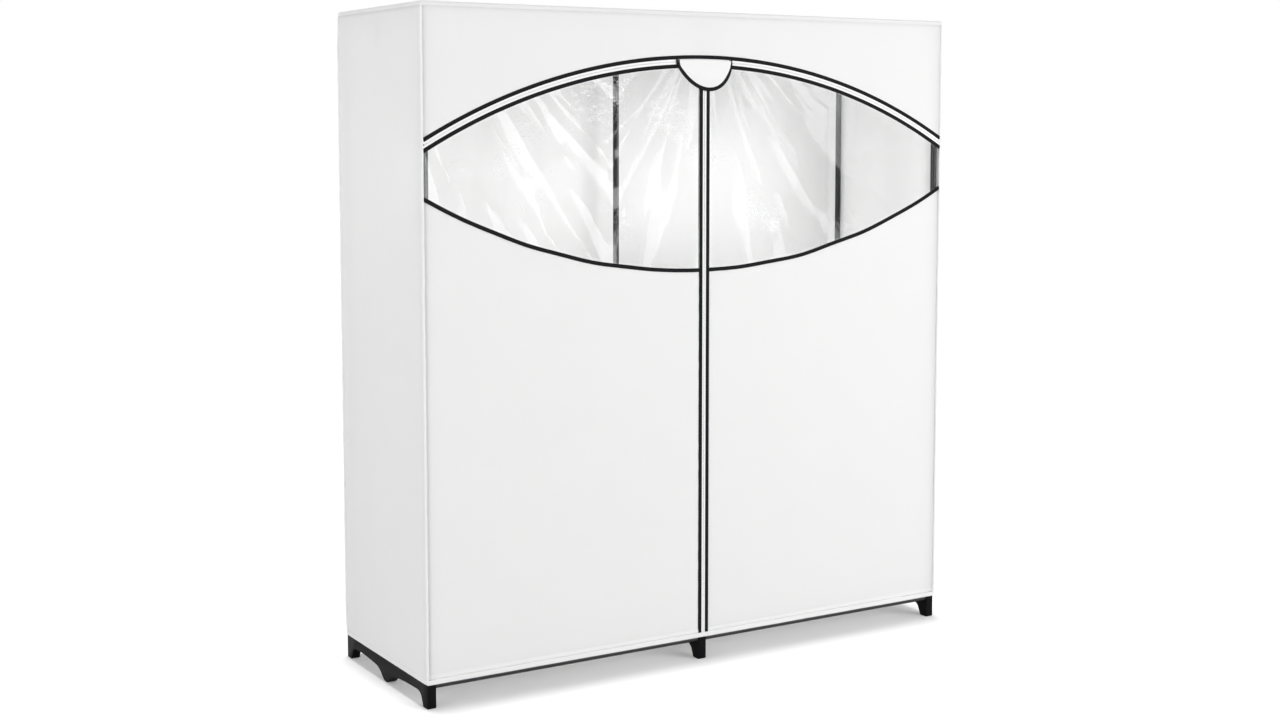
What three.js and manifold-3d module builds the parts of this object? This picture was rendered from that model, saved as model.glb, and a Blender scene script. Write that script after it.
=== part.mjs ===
// A portable fabric wardrobe: a frame of steel tubes in moulded rails, under a cloth cover
// whose two front doors close with a centre zip and an arch zip.
// Millimetres, +Z up. The origin is on the floor under the middle, and the front faces -Y.
import * as THREE from "three";
import { mergeVertices } from "three/addons/utils/BufferGeometryUtils.js";
import Module from "manifold-3d";

const wasm = await Module();
wasm.setup();

// Cover sizes. The hem's lower edge is lifted off the floor.
const coverWidth = 1524;
const coverDepth = 495;
const coverHeight = 1626;
const hemLift = 58;
const hemBandHeight = 11.7;
const hemBandThickness = 3;
const clothThickness = 1.6;
const seamGap = 0.3;
const pipingRadius = 2.5;
const pipingInset = 1.2;

// Main folds of the hanging cloth: how far each panel billows out, ripples or sags.
const doorBillow = 3;
const doorRipple = 1.4;
const doorRippleCount = 3;
const sideBillow = 2.6;
const sideRipple = 1.2;
const sideRippleCount = 2;
const backBillow = 3;
const backRipple = 1.4;
const backRippleCount = 4;
const headerRipple = 1;
const headerRippleCount = 5;
const topSag = 6;
const filmBillow = 2;

// Arch zip: the middle line of its coil, measured from the cover's top.
const archDrop = 121.75;
const archRadius = 1520.25;
const bindingSpacing = 21.5;
const bindingWidth = 8;
const bindingThickness = 2.4;

// Zip tapes and their coils. The two halves of a coil leave a slot for the slider's neck.
const tapeThickness = 0.8;
const coilThickness = 2;
const coilWidth = 2;
const coilSlot = 1.6;
const centreBindingSpacing = 20;

// Window: its lower edge is an arc that hangs from the arch zip's top.
const windowHeight = 514;
const windowRadius = 1597;

// Sliders and pull tabs.
const sliderLength = 14;
const sliderWidth = 10;
const sliderTailShare = 0.76;
const bladeThickness = 0.9;
const neckWidth = 1;
const neckLength = 4;
const bridgeLength = 6;
const bridgeWidth = 2.4;
const bridgeHeight = 2.4;
const bridgeHoleRadius = 0.95;
const pivotHeight = 1.1;
const tabLength = 26;
const tabWidth = 6.4;
const tabThickness = 1;
const tabBar = 1.1;
const tabArmWidth = 1.5;
const tabEyeLength = 4.5;
const tabEndShare = 0.6;
const sliderPark = 14;
const centreSliderPark = 22.25;
const tabClear = 3;

// Half-round flap over the meeting of the zips.
const flapHalfWidth = 77.5;
const flapLeg = 8;
const flapRound = 70;
const flapThickness = 0.8;
const flapRise = 2.6;
const flapRimLift = 2;
const flapLift = 5;
const flapSeamProud = 0.3;

// Tubes.
const tubeRadius = 8;
const tubeWall = 0.8;
const fitGap = 0.3;
const swageLength = 30;
const poleJointHeight = 820;
const socketDepth = 9;

// Side frames: moulded rails at both ends and in the middle.
const railWidth = 22;
const railSideGap = 0.4;
const railEndInset = 3.5;
const frontPoleInset = 10.3;
const rearPoleInset = 60;
const postHalfDepth = 13;
const postHeight = 112;
const baseRailHeight = 64;
const socketFloor = 3;
const bottomTubeHeight = 53;
const footDepth = 27;
const footChamfer = 2;
const footLean = 7;
const footLeanHeight = 18;
const archHeight = 33;
const archShoulder = 27;
const archEase = 6;
const apronHeight = 27.5;
const pendantFlat = 3;
const pendantHalfWidth = 22;
const pendantEase = 6;
const ogeeRise = 25;
const ogeeWidth = 42;

// Top rails, with sockets for the poles below and a lug for the hanging rods.
const topRailHeight = 32;
const topSocketDepth = 32;
const topTubeDrop = 16.1;
const rodDrop = 74.1;
const rodLugRadius = 15;

// Facets. A cut runs past what it cuts by the overrun.
const tubeSides = 10;
const pipingSides = 8;
const holeSides = 8;
const curveSteps = 3;
const overrun = 5;
const doorColumns = 20;
const doorRows = 6;
const filmRows = 3;
const headerRows = 2;
const sideColumns = 6;
const sideRows = 8;
const backColumns = 10;
const backRows = 8;
const topColumns = 12;
const topRows = 4;
const flapColumns = 16;
const flapRowShares = [0, 0.45, 0.8, 1];
const turn = 2 * Math.PI;
const quarter = Math.PI / 2;

// Places that follow from the sizes above.
const halfWidth = coverWidth / 2;
const halfDepth = coverDepth / 2;
const wallTop = coverHeight - clothThickness - seamGap;
const frontFace = -halfDepth;
const frontMiddle = frontFace + clothThickness / 2;
const pipingX = halfWidth - pipingInset;
const pipingY = halfDepth - pipingInset;
const seamX = pipingX - pipingRadius - seamGap;
const seamY = pipingY - pipingRadius - seamGap;
const doorBottom = hemLift + hemBandHeight + seamGap;
const archTop = coverHeight - archDrop;
const archCentre = archTop - archRadius;
const outerBindingInner = archRadius + bindingSpacing / 2 - bindingWidth / 2;
const outerBindingOuter = outerBindingInner + bindingWidth;
const innerBindingOuter = archRadius - bindingSpacing / 2 + bindingWidth / 2;
const innerBindingInner = innerBindingOuter - bindingWidth;
const windowCentre = archTop - windowHeight + windowRadius;
const centreBindingInner = centreBindingSpacing / 2 - bindingWidth / 2;
const centreBindingOuter = centreBindingInner + bindingWidth;
const panelInner = centreBindingOuter + seamGap;
const tabReach = sliderPark + tabLength + tabClear;
const centreSliderZ = archTop - centreSliderPark;
const centreTabEnd = centreSliderZ - tabLength - tabClear;
const railX = halfWidth - clothThickness - railSideGap - railWidth / 2;
const railHalf = halfDepth - railEndInset;
const frontPoleY = -railHalf + frontPoleInset;
const rearPoleY = railHalf - rearPoleInset;
const poleBottom = bottomTubeHeight + tubeRadius + fitGap + socketFloor;
const topRailTop = wallTop;
const topRailBottom = topRailTop - topRailHeight;
const poleTop = topRailBottom;
const topTubeHeight = topRailTop - topTubeDrop;
const rodHeight = topRailTop - rodDrop;

const paint = (color, roughness, metalness) => new THREE.MeshStandardMaterial({ color, roughness, metalness });
const whiteCloth = paint(0xf2f2f1, 0.9, 0);
const pipingCloth = paint(0xfafafa, 0.85, 0);
const blackBinding = paint(0x1e1e1f, 0.8, 0);
const clearFilm = new THREE.MeshStandardMaterial({
  color: 0xf4f6f8,
  roughness: 0.12,
  metalness: 0,
  transparent: true,
  opacity: 0.25,
});
const zipTape = paint(0xe9e9ea, 0.7, 0);
const blackMoulding = paint(0x19191a, 0.42, 0);
const blackTube = paint(0x151516, 0.32, 0.4);
const sliderMetal = paint(0xd8d8da, 0.3, 0.7);

const wardrobe = new THREE.Group();

function addMesh(name, geometry, material, place = [0, 0, 0], turnY = 0) {
  const mesh = new THREE.Mesh(geometry, material);
  mesh.name = name;
  mesh.position.set(...place);
  mesh.rotation.y = turnY;
  wardrobe.add(mesh);
  return mesh;
}

// Solids for cutting and joining.
function solidOf(geometry) {
  const bare = geometry.clone();
  bare.deleteAttribute("normal");
  bare.deleteAttribute("uv");
  const merged = mergeVertices(bare);
  const vertProperties = Float32Array.from(merged.attributes.position.array);
  const triVerts = Uint32Array.from(merged.index.array);
  return new wasm.Manifold(new wasm.Mesh({ numProp: 3, vertProperties, triVerts }));
}

function geometryOf(solid) {
  const mesh = solid.getMesh();
  const geometry = new THREE.BufferGeometry();
  geometry.setAttribute("position", new THREE.BufferAttribute(Float32Array.from(mesh.vertProperties), 3));
  geometry.setIndex(new THREE.BufferAttribute(Uint32Array.from(mesh.triVerts), 1));
  const flat = geometry.toNonIndexed();
  flat.computeVertexNormals();
  return flat;
}

function joined(...geometries) {
  return geometryOf(geometries.map(solidOf).reduce((whole, piece) => whole.add(piece)));
}

function cut(geometry, ...holes) {
  return geometryOf(holes.map(solidOf).reduce((whole, hole) => whole.subtract(hole), solidOf(geometry)));
}

// A box given by its lowest and highest corners.
function boxBetween(low, high) {
  const size = high.map((value, i) => value - low[i]);
  const middle = high.map((value, i) => (value + low[i]) / 2);
  return new THREE.BoxGeometry(...size).translate(...middle);
}

// A shape drawn in x and z becomes a plate that faces the front.
function frontPlate(shape, frontY, thickness) {
  const plate = new THREE.ExtrudeGeometry(shape, { depth: thickness, bevelEnabled: false, curveSegments: curveSteps });
  return plate.rotateX(quarter).translate(0, frontY + thickness, 0);
}

// A shape drawn in y and z becomes a plate across x, about x = 0.
function sidePlate(shape, thickness) {
  const plate = new THREE.ExtrudeGeometry(shape, { depth: thickness, bevelEnabled: false, curveSegments: curveSteps });
  const axes = new THREE.Matrix4().makeBasis(
    new THREE.Vector3(0, 1, 0),
    new THREE.Vector3(0, 0, 1),
    new THREE.Vector3(1, 0, 0),
  );
  return plate.applyMatrix4(axes).translate(-thickness / 2, 0, 0);
}

// A turned solid on the Z axis, from a closed profile of [radius, height] points.
function turned(profile, sides) {
  const points = profile.map(([radius, height]) => new THREE.Vector2(radius, height));
  return new THREE.LatheGeometry(points, sides).rotateX(quarter);
}

function rod(radius, length, sides) {
  return turned([[0, 0], [radius, 0], [radius, length], [0, length]], sides);
}

function tube(length) {
  const bore = tubeRadius - tubeWall;
  return turned([[bore, 0], [tubeRadius, 0], [tubeRadius, length], [bore, length], [bore, 0]], tubeSides);
}

// A pole's lower section: its top is swaged down to enter the upper section.
function swagedTube(length) {
  const bore = tubeRadius - tubeWall;
  const neck = bore - fitGap;
  const neckBore = neck - tubeWall;
  const top = length + swageLength;
  const inside = length - 2 * tubeWall;
  return turned(
    [
      [bore, 0],
      [tubeRadius, 0],
      [tubeRadius, length],
      [neck, length],
      [neck, top],
      [neckBore, top],
      [neckBore, inside],
      [bore, inside],
      [bore, 0],
    ],
    tubeSides,
  );
}

// Turns a solid on Z so that it runs along X from its start.
function alongX(geometry) {
  return geometry.rotateY(quarter);
}

// A thin sheet: face(u, v, layer) gives a corner of the outer face (layer 0) or the inner one (layer 1).
function sheet(columns, rows, face) {
  const points = [];
  const index = (layer, i, j) => layer * (columns + 1) * (rows + 1) + j * (columns + 1) + i;
  for (const layer of [0, 1]) {
    for (let j = 0; j <= rows; j += 1) {
      for (let i = 0; i <= columns; i += 1) points.push(...face(i / columns, j / rows, layer));
    }
  }
  const triangles = [];
  const quad = (a, b, c, d) => triangles.push(a, b, c, a, c, d);
  for (let j = 0; j < rows; j += 1) {
    for (let i = 0; i < columns; i += 1) {
      quad(index(0, i, j), index(0, i + 1, j), index(0, i + 1, j + 1), index(0, i, j + 1));
      quad(index(1, i, j), index(1, i, j + 1), index(1, i + 1, j + 1), index(1, i + 1, j));
    }
  }
  for (let i = 0; i < columns; i += 1) {
    quad(index(0, i, 0), index(1, i, 0), index(1, i + 1, 0), index(0, i + 1, 0));
    quad(index(0, i + 1, rows), index(1, i + 1, rows), index(1, i, rows), index(0, i, rows));
  }
  for (let j = 0; j < rows; j += 1) {
    quad(index(0, 0, j + 1), index(1, 0, j + 1), index(1, 0, j), index(0, 0, j));
    quad(index(0, columns, j), index(1, columns, j), index(1, columns, j + 1), index(0, columns, j + 1));
  }
  return facingOut(points, triangles);
}

// Closed triangles as a geometry, turned round if they enclose a negative volume.
function facingOut(points, triangles) {
  const corner = (i) => new THREE.Vector3().fromArray(points, 3 * i);
  let volume = 0;
  for (let i = 0; i < triangles.length; i += 3) {
    const [a, b, c] = triangles.slice(i, i + 3).map(corner);
    volume += a.dot(b.cross(c));
  }
  const faces = volume < 0 ? [...triangles].reverse() : triangles;
  const geometry = new THREE.BufferGeometry();
  geometry.setAttribute("position", new THREE.Float32BufferAttribute(points, 3));
  geometry.setIndex(faces);
  const flat = geometry.toNonIndexed();
  flat.computeVertexNormals();
  return flat;
}

// Folds are nothing at a panel's sewn edges and largest in its middle.
function folds(u, v, billow, ripple, count) {
  const edge = Math.sin(Math.PI * u) * Math.sin(Math.PI * v);
  return edge * (billow + ripple * Math.sin(turn * count * u + Math.PI * v));
}

const mix = (low, high, share) => low + (high - low) * share;
const overArc = (radius, x) => archCentre + Math.sqrt(radius * radius - x * x);
const underArc = (radius, x) => windowCentre - Math.sqrt(radius * radius - x * x);

// A strip between two curves of x, with upright ends, in the middle of the front wall.
function middleStrip(lower, upper, fromX, toX, thickness) {
  const steps = fromX * toX < 0 ? 2 * doorColumns : doorColumns;
  const places = Array.from({ length: steps + 1 }, (unused, i) => mix(fromX, toX, i / steps));
  const under = places.map((x) => new THREE.Vector2(x, lower(x)));
  const over = places.map((x) => new THREE.Vector2(x, upper(x)));
  const outline = new THREE.Shape([...under, ...over.reverse()]);
  return frontPlate(outline, frontMiddle - thickness / 2, thickness);
}

// Cover: the walls and the top.
function addSidePanel(name, side) {
  const geometry = sheet(sideColumns, sideRows, (u, v, layer) => {
    const out = folds(u, v, sideBillow, sideRipple, sideRippleCount);
    const x = side * (halfWidth - layer * clothThickness + out);
    return [x, mix(-seamY, seamY, u), mix(hemLift, wallTop, v)];
  });
  addMesh(name, geometry, whiteCloth);
}

function addBackPanel() {
  const geometry = sheet(backColumns, backRows, (u, v, layer) => {
    const out = folds(u, v, backBillow, backRipple, backRippleCount);
    return [mix(-seamX, seamX, u), halfDepth - layer * clothThickness + out, mix(hemLift, wallTop, v)];
  });
  addMesh("cover_back", geometry, whiteCloth);
}

// The top lies on the rails, so it sags only between them and inside the walls.
function addTopPanel() {
  const geometry = sheet(topColumns, topRows, (u, v, layer) => {
    const x = mix(-halfWidth, halfWidth, u);
    const bay = Math.sin((Math.PI * x) / halfWidth);
    const sag = topSag * bay * bay * Math.sin(Math.PI * v);
    return [x, mix(-halfDepth, halfDepth, v), coverHeight - layer * clothThickness - sag];
  });
  addMesh("cover_top", geometry, whiteCloth);
}

function addHeader() {
  const geometry = sheet(2 * doorColumns, headerRows, (u, v, layer) => {
    const x = mix(-seamX, seamX, u);
    const bottom = overArc(outerBindingOuter + seamGap, x);
    const out = folds(u, v, 0, headerRipple, headerRippleCount);
    return [x, frontFace + layer * clothThickness - out, mix(bottom, wallTop, v)];
  });
  addMesh("cover_header", geometry, whiteCloth);
}

function addHem() {
  const front = frontMiddle - hemBandThickness / 2;
  const low = [-seamX, front, hemLift];
  const high = [seamX, front + hemBandThickness, hemLift + hemBandHeight];
  addMesh("front_hem", boxBetween(low, high), pipingCloth);
}

function addPiping() {
  const length = wallTop - hemLift;
  for (const [end, y] of [["front", -pipingY], ["rear", pipingY]]) {
    for (const [side, x] of [["left", -pipingX], ["right", pipingX]]) {
      addMesh(`piping_${end}_${side}`, rod(pipingRadius, length, pipingSides), pipingCloth, [x, y, hemLift]);
    }
  }
}

// Arch zip, the half that stays on the header.
function addArchZip() {
  const under = (x) => overArc(outerBindingInner, x);
  const over = (x) => overArc(outerBindingOuter, x);
  addMesh("arch_binding", middleStrip(under, over, -seamX, seamX, bindingThickness), blackBinding);
  const coilInner = (x) => overArc(archRadius + coilSlot / 2, x);
  const coilOuter = (x) => overArc(archRadius + coilSlot / 2 + coilWidth, x);
  const tapeOuter = (x) => overArc(outerBindingInner - seamGap, x);
  const tape = middleStrip(coilInner, tapeOuter, -seamX, seamX, tapeThickness);
  const coil = middleStrip(coilInner, coilOuter, -seamX, seamX, coilThickness);
  addMesh("arch_tape", joined(tape, coil), zipTape);
}

// One front door. The side is -1 for the left door and 1 for the right one.
function addDoor(name, side) {
  const between = (a, b) => (side < 0 ? [-b, -a] : [a, b]);
  const [panelFrom, panelTo] = between(panelInner, seamX);
  const windowUnder = windowRadius + bindingWidth / 2;
  const windowOver = windowRadius - bindingWidth / 2;

  const panel = sheet(doorColumns, doorRows, (u, v, layer) => {
    const x = mix(panelFrom, panelTo, u);
    const top = underArc(windowUnder + seamGap, x);
    const out = folds(u, v, doorBillow, doorRipple, doorRippleCount);
    return [x, frontFace + layer * clothThickness - out, mix(doorBottom, top, v)];
  });
  addMesh(`door_panel_${name}`, panel, whiteCloth);

  const film = sheet(doorColumns, filmRows, (u, v, layer) => {
    const x = mix(panelFrom, panelTo, u);
    const bottom = underArc(windowOver - seamGap, x);
    const top = overArc(innerBindingInner - seamGap, x);
    const out = folds(u, v, filmBillow, 0, 0);
    return [x, frontFace + layer * clothThickness - out, mix(bottom, top, v)];
  });
  addMesh(`window_film_${name}`, film, clearFilm);

  const trimUnder = (x) => underArc(windowUnder, x);
  const trimOver = (x) => underArc(windowOver, x);
  const trim = middleStrip(trimUnder, trimOver, panelFrom, panelTo, bindingThickness);
  addMesh(`window_binding_${name}`, trim, blackBinding);

  addDoorEdge(name, between);
  addDoorTapes(name, side, between);
}

// The black edging of a door: along the arch, then down the centre.
function addDoorEdge(name, between) {
  const under = (x) => overArc(innerBindingInner, x);
  const over = (x) => overArc(innerBindingOuter, x);
  const alongArch = middleStrip(under, over, ...between(centreBindingInner, seamX), bindingThickness);
  const [from, to] = between(centreBindingInner, centreBindingOuter);
  const middle = overArc(archRadius - bindingSpacing / 2, centreBindingOuter);
  const front = frontMiddle - bindingThickness / 2;
  const downCentre = boxBetween([from, front, doorBottom], [to, front + bindingThickness, middle]);
  addMesh(`door_edge_${name}`, joined(alongArch, downCentre), blackBinding);
}

// The door's halves of the two zips. Both stop short of the parked sliders and their tabs,
// apart from the left centre tape, which carries the centre slider.
function addDoorTapes(name, side, between) {
  const coilOuter = (x) => overArc(archRadius - coilSlot / 2, x);
  const coilInner = (x) => overArc(archRadius - coilSlot / 2 - coilWidth, x);
  const tapeInner = (x) => overArc(innerBindingOuter + seamGap, x);
  const reach = between(tabReach, seamX);
  const tape = middleStrip(tapeInner, coilOuter, ...reach, tapeThickness);
  const coil = middleStrip(coilInner, coilOuter, ...reach, coilThickness);
  addMesh(`arch_tape_${name}`, joined(tape, coil), zipTape);

  const top = side < 0 ? centreSliderZ + sliderLength / 2 : centreTabEnd;
  const block = (from, to, thickness) => {
    const [low, high] = between(from, to);
    const front = frontMiddle - thickness / 2;
    return boxBetween([low, front, doorBottom], [high, front + thickness, top]);
  };
  const flat = block(coilSlot / 2, centreBindingInner - seamGap, tapeThickness);
  const bead = block(coilSlot / 2, coilSlot / 2 + coilWidth, coilThickness);
  addMesh(`centre_tape_${name}`, joined(flat, bead), zipTape);
}

// A slider, drawn about the coil's middle line: it travels along +X and its bridge is towards -Y.
const bladeFace = coilThickness / 2 + seamGap;
const bladeBack = bladeFace + bladeThickness;
const pivotY = -bladeBack - pivotHeight;

function sliderGeometry() {
  const nose = sliderWidth / 2;
  const tail = nose * sliderTailShare;
  const end = sliderLength / 2;
  const outline = new THREE.Shape();
  outline.moveTo(-end, -tail);
  outline.lineTo(0, -nose);
  outline.lineTo(end, -nose);
  outline.lineTo(end, nose);
  outline.lineTo(0, nose);
  outline.lineTo(-end, tail);
  outline.closePath();
  const front = frontPlate(outline, -bladeBack, bladeThickness);
  const back = frontPlate(outline, bladeFace, bladeThickness);
  const inBlade = bladeFace + bladeThickness / 2;
  const neck = boxBetween([end - neckLength, -inBlade, -neckWidth / 2], [end, inBlade, neckWidth / 2]);
  const bridgeFront = -bladeBack - bridgeHeight;
  const bridgeFoot = [-bridgeLength / 2, bridgeFront, -bridgeWidth / 2];
  const bridge = boxBetween(bridgeFoot, [bridgeLength / 2, -inBlade, bridgeWidth / 2]);
  const hole = rod(bridgeHoleRadius, bridgeWidth + 2 * overrun, holeSides);
  hole.translate(0, pivotY, -bridgeWidth / 2 - overrun);
  return cut(joined(front, back, neck, bridge), hole);
}

// A pull tab, drawn about its pivot: a bar through the bridge, two arms and a plate.
function tabGeometry() {
  const half = tabWidth / 2;
  const inner = bridgeWidth / 2 + seamGap;
  const outer = inner + tabArmWidth;
  const start = -tabBar / 2;
  const outline = new THREE.Shape();
  outline.moveTo(start, -outer);
  outline.lineTo(tabEyeLength, -outer);
  outline.lineTo(tabLength, -half);
  outline.lineTo(tabLength, half);
  outline.lineTo(tabEyeLength, outer);
  outline.lineTo(start, outer);
  outline.closePath();
  const eye = new THREE.Path();
  eye.moveTo(tabBar / 2, -inner);
  eye.lineTo(tabBar / 2, inner);
  eye.lineTo(tabEyeLength, inner);
  eye.lineTo(tabEyeLength, -inner);
  eye.closePath();
  outline.holes.push(eye);
  const grip = new THREE.Path();
  const gripFrom = mix(tabEyeLength, tabLength, tabEndShare);
  grip.absarc(gripFrom, 0, half / 2, 0, turn);
  outline.holes.push(grip);
  return frontPlate(outline, -tabThickness / 2, tabThickness);
}

function addSliders() {
  const parkAngle = sliderPark / archRadius;
  const archX = archRadius * Math.sin(parkAngle);
  const archZ = archCentre + archRadius * Math.cos(parkAngle);
  const places = [
    ["centre", [0, frontMiddle, centreSliderZ], quarter],
    ["left_arch", [-archX, frontMiddle, archZ], Math.PI - parkAngle],
    ["right_arch", [archX, frontMiddle, archZ], parkAngle],
  ];
  for (const [name, place, turnY] of places) {
    const [x, y, z] = place;
    addMesh(`${name}_slider`, sliderGeometry(), sliderMetal, place, turnY);
    addMesh(`${name}_pull`, tabGeometry(), sliderMetal, [x, y + pivotY, z], turnY);
  }
}

// The flap hangs from the outer arch binding and bulges over the parked sliders.
function addFlap() {
  const half = flapHalfWidth - bindingWidth / 2 - seamGap;
  const round = flapRound - bindingWidth / 2 - seamGap;
  const seam = outerBindingInner - seamGap;
  const seamFront = frontMiddle - bindingThickness / 2 - flapSeamProud;
  const roundTop = archCentre + outerBindingInner - flapLeg;
  const rows = flapRowShares.length;
  const cloth = sheet(flapColumns, rows, (u, v, layer) => {
    const across = 2 * u - 1;
    const x = half * across;
    const top = overArc(seam, x);
    const bottom = roundTop - round * Math.sqrt(1 - across * across);
    const row = Math.round(v * rows);
    const middle = mix(flapRimLift, flapLift, 1 - across ** 6);
    if (row === 0) return [x, seamFront + layer * flapThickness, top];
    const lift = row === rows ? flapRimLift : middle;
    const z = mix(top - flapRise, bottom, flapRowShares[row - 1]);
    return [x, seamFront - lift + layer * flapThickness, z];
  });
  addMesh("zip_flap", cloth, whiteCloth);

  const outerHalf = flapHalfWidth + bindingWidth / 2;
  const innerHalf = outerHalf - bindingWidth;
  const outerRound = flapRound + bindingWidth / 2;
  const innerRound = outerRound - bindingWidth;
  const outline = new THREE.Shape();
  const legTop = overArc(seam, outerHalf);
  outline.moveTo(-outerHalf, legTop);
  outline.lineTo(-outerHalf, roundTop);
  outline.absellipse(0, roundTop, outerHalf, outerRound, Math.PI, turn, false);
  outline.lineTo(outerHalf, legTop);
  outline.lineTo(innerHalf, legTop);
  outline.lineTo(innerHalf, roundTop);
  outline.absellipse(0, roundTop, innerHalf, innerRound, turn, Math.PI, true);
  outline.lineTo(-innerHalf, legTop);
  outline.closePath();
  const plate = new THREE.ExtrudeGeometry(outline, {
    depth: flapThickness,
    bevelEnabled: false,
    curveSegments: flapColumns,
  });
  plate.rotateX(quarter).translate(0, seamFront - flapRimLift + flapThickness, 0);
  addMesh("flap_binding", plate, blackBinding);
}

// Side frames. A base rail's outline, with feet at its ends and a pendant in its middle.
function baseRailShape() {
  const outline = new THREE.Shape();
  const foot = railHalf - footDepth;
  const frontPost = frontPoleY + postHalfDepth;
  outline.moveTo(-railHalf, footChamfer);
  outline.lineTo(-railHalf + footChamfer, 0);
  outline.lineTo(-foot - footChamfer, 0);
  outline.lineTo(-foot, footChamfer);
  halfApron(outline, -1);
  outline.lineTo(pendantFlat, 0);
  halfApronBack(outline);
  outline.lineTo(foot + footChamfer, 0);
  outline.lineTo(railHalf - footChamfer, 0);
  outline.lineTo(railHalf, footChamfer);
  outline.lineTo(railHalf, baseRailHeight);
  outline.lineTo(rearPoleY + postHalfDepth, baseRailHeight);
  outline.lineTo(rearPoleY + postHalfDepth, postHeight);
  outline.lineTo(rearPoleY - postHalfDepth, postHeight);
  outline.lineTo(rearPoleY - postHalfDepth, baseRailHeight);
  outline.lineTo(frontPost, baseRailHeight);
  outline.lineTo(frontPost, postHeight);
  outline.lineTo(-railHalf, postHeight);
  outline.closePath();
  return outline;
}

// Half of a rail's underside, from the pendant's middle out to a foot: an ogee, a long low arch and a shoulder
// that runs down into the foot's leaning inner edge. Each curve is its controls and its end, in y and z.
function apronCurves() {
  const foot = railHalf - footDepth;
  const leanTop = foot - footLean;
  const shoulderStart = leanTop - archShoulder;
  const ogeeEnd = pendantHalfWidth + ogeeWidth;
  return [
    [[pendantHalfWidth, 0], [pendantHalfWidth + pendantEase, ogeeRise], [ogeeEnd, apronHeight]],
    [[mix(ogeeEnd, shoulderStart, 1 / 2), archHeight], [shoulderStart, archHeight]],
    [[leanTop - archEase, archHeight], [leanTop, footLeanHeight]],
    [[foot, footChamfer]],
  ];
}

function drawCurve(outline, side, controls) {
  const points = controls.map(([y, z]) => [side * y, z]).flat();
  if (controls.length === 1) outline.lineTo(...points);
  else if (controls.length === 2) outline.quadraticCurveTo(...points);
  else outline.bezierCurveTo(...points);
}

// From the front foot to the pendant's lowest stretch.
function halfApron(outline, side) {
  const curves = apronCurves();
  curves.reverse().forEach((curve, i) => {
    const before = curves[i + 1];
    const end = before ? before.at(-1) : [pendantFlat, 0];
    drawCurve(outline, side, [...curve.slice(0, -1).reverse(), end]);
  });
}

// The same stretch drawn back from the pendant to the rear foot.
function halfApronBack(outline) {
  for (const curve of apronCurves()) drawCurve(outline, 1, curve);
}

// Blind holes into a rail from the sides that face a bay.
function baySockets(facing, y, z) {
  const hole = () => alongX(rod(tubeRadius + fitGap, socketDepth + overrun, tubeSides));
  return facing.map((side) => {
    const start = side > 0 ? railWidth / 2 - socketDepth : -railWidth / 2 - overrun;
    return hole().translate(start, y, z);
  });
}

function poleSocket(y, from, to) {
  return rod(tubeRadius + fitGap, to - from, tubeSides).translate(0, y, from);
}

function baseRail(facing) {
  const floor = poleBottom - fitGap;
  const holes = [frontPoleY, rearPoleY].flatMap((y) => [
    poleSocket(y, floor, postHeight + overrun),
    ...baySockets(facing, y, bottomTubeHeight),
  ]);
  return cut(sidePlate(baseRailShape(), railWidth), ...holes);
}

function topRailShape() {
  const socketEnd = topRailBottom - topSocketDepth;
  const outline = new THREE.Shape();
  outline.moveTo(-railHalf, topRailTop);
  outline.lineTo(-railHalf, socketEnd);
  outline.lineTo(frontPoleY + postHalfDepth, socketEnd);
  outline.lineTo(frontPoleY + postHalfDepth, topRailBottom);
  outline.lineTo(-rodLugRadius, topRailBottom);
  outline.lineTo(-rodLugRadius, rodHeight);
  outline.absarc(0, rodHeight, rodLugRadius, Math.PI, turn, false);
  outline.lineTo(rodLugRadius, topRailBottom);
  outline.lineTo(rearPoleY - postHalfDepth, topRailBottom);
  outline.lineTo(rearPoleY - postHalfDepth, socketEnd);
  outline.lineTo(rearPoleY + postHalfDepth, socketEnd);
  outline.lineTo(rearPoleY + postHalfDepth, topRailBottom);
  outline.lineTo(railHalf, topRailBottom);
  outline.lineTo(railHalf, topRailTop);
  outline.closePath();
  return outline;
}

function topRail(facing) {
  const socketEnd = topRailBottom - topSocketDepth;
  const holes = [frontPoleY, rearPoleY].flatMap((y) => [
    poleSocket(y, socketEnd - overrun, poleTop + fitGap),
    ...baySockets(facing, y, topTubeHeight),
  ]);
  return cut(sidePlate(topRailShape(), railWidth), ...holes, ...baySockets(facing, 0, rodHeight));
}

function addSideFrames() {
  const frames = [
    ["left", -railX, [1]],
    ["centre", 0, [-1, 1]],
    ["right", railX, [-1]],
  ];
  const lowerLength = poleJointHeight - poleBottom;
  const upperLength = poleTop - poleJointHeight - fitGap;
  for (const [name, x, facing] of frames) {
    addMesh(`base_rail_${name}`, baseRail(facing), blackMoulding, [x, 0, 0]);
    addMesh(`top_rail_${name}`, topRail(facing), blackMoulding, [x, 0, 0]);
    for (const [end, y] of [["front", frontPoleY], ["rear", rearPoleY]]) {
      addMesh(`pole_${end}_${name}_lower`, swagedTube(lowerLength), blackTube, [x, y, poleBottom]);
      const upperFoot = [x, y, poleJointHeight + fitGap];
      addMesh(`pole_${end}_${name}_upper`, tube(upperLength), blackTube, upperFoot);
    }
  }
}

// Tubes across each bay, held in the rails' side sockets.
function addCrossTubes() {
  const reach = railWidth / 2 - socketDepth + fitGap;
  const length = railX - 2 * reach;
  const bays = [
    ["left", -railX + reach],
    ["right", reach],
  ];
  const rows = [
    ["bottom_rail_front", frontPoleY, bottomTubeHeight],
    ["bottom_rail_rear", rearPoleY, bottomTubeHeight],
    ["top_tube_front", frontPoleY, topTubeHeight],
    ["top_tube_rear", rearPoleY, topTubeHeight],
    ["hanging_rod", 0, rodHeight],
  ];
  for (const [bay, x] of bays) {
    for (const [name, y, z] of rows) addMesh(`${name}_${bay}`, alongX(tube(length)), blackTube, [x, y, z]);
  }
}

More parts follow.
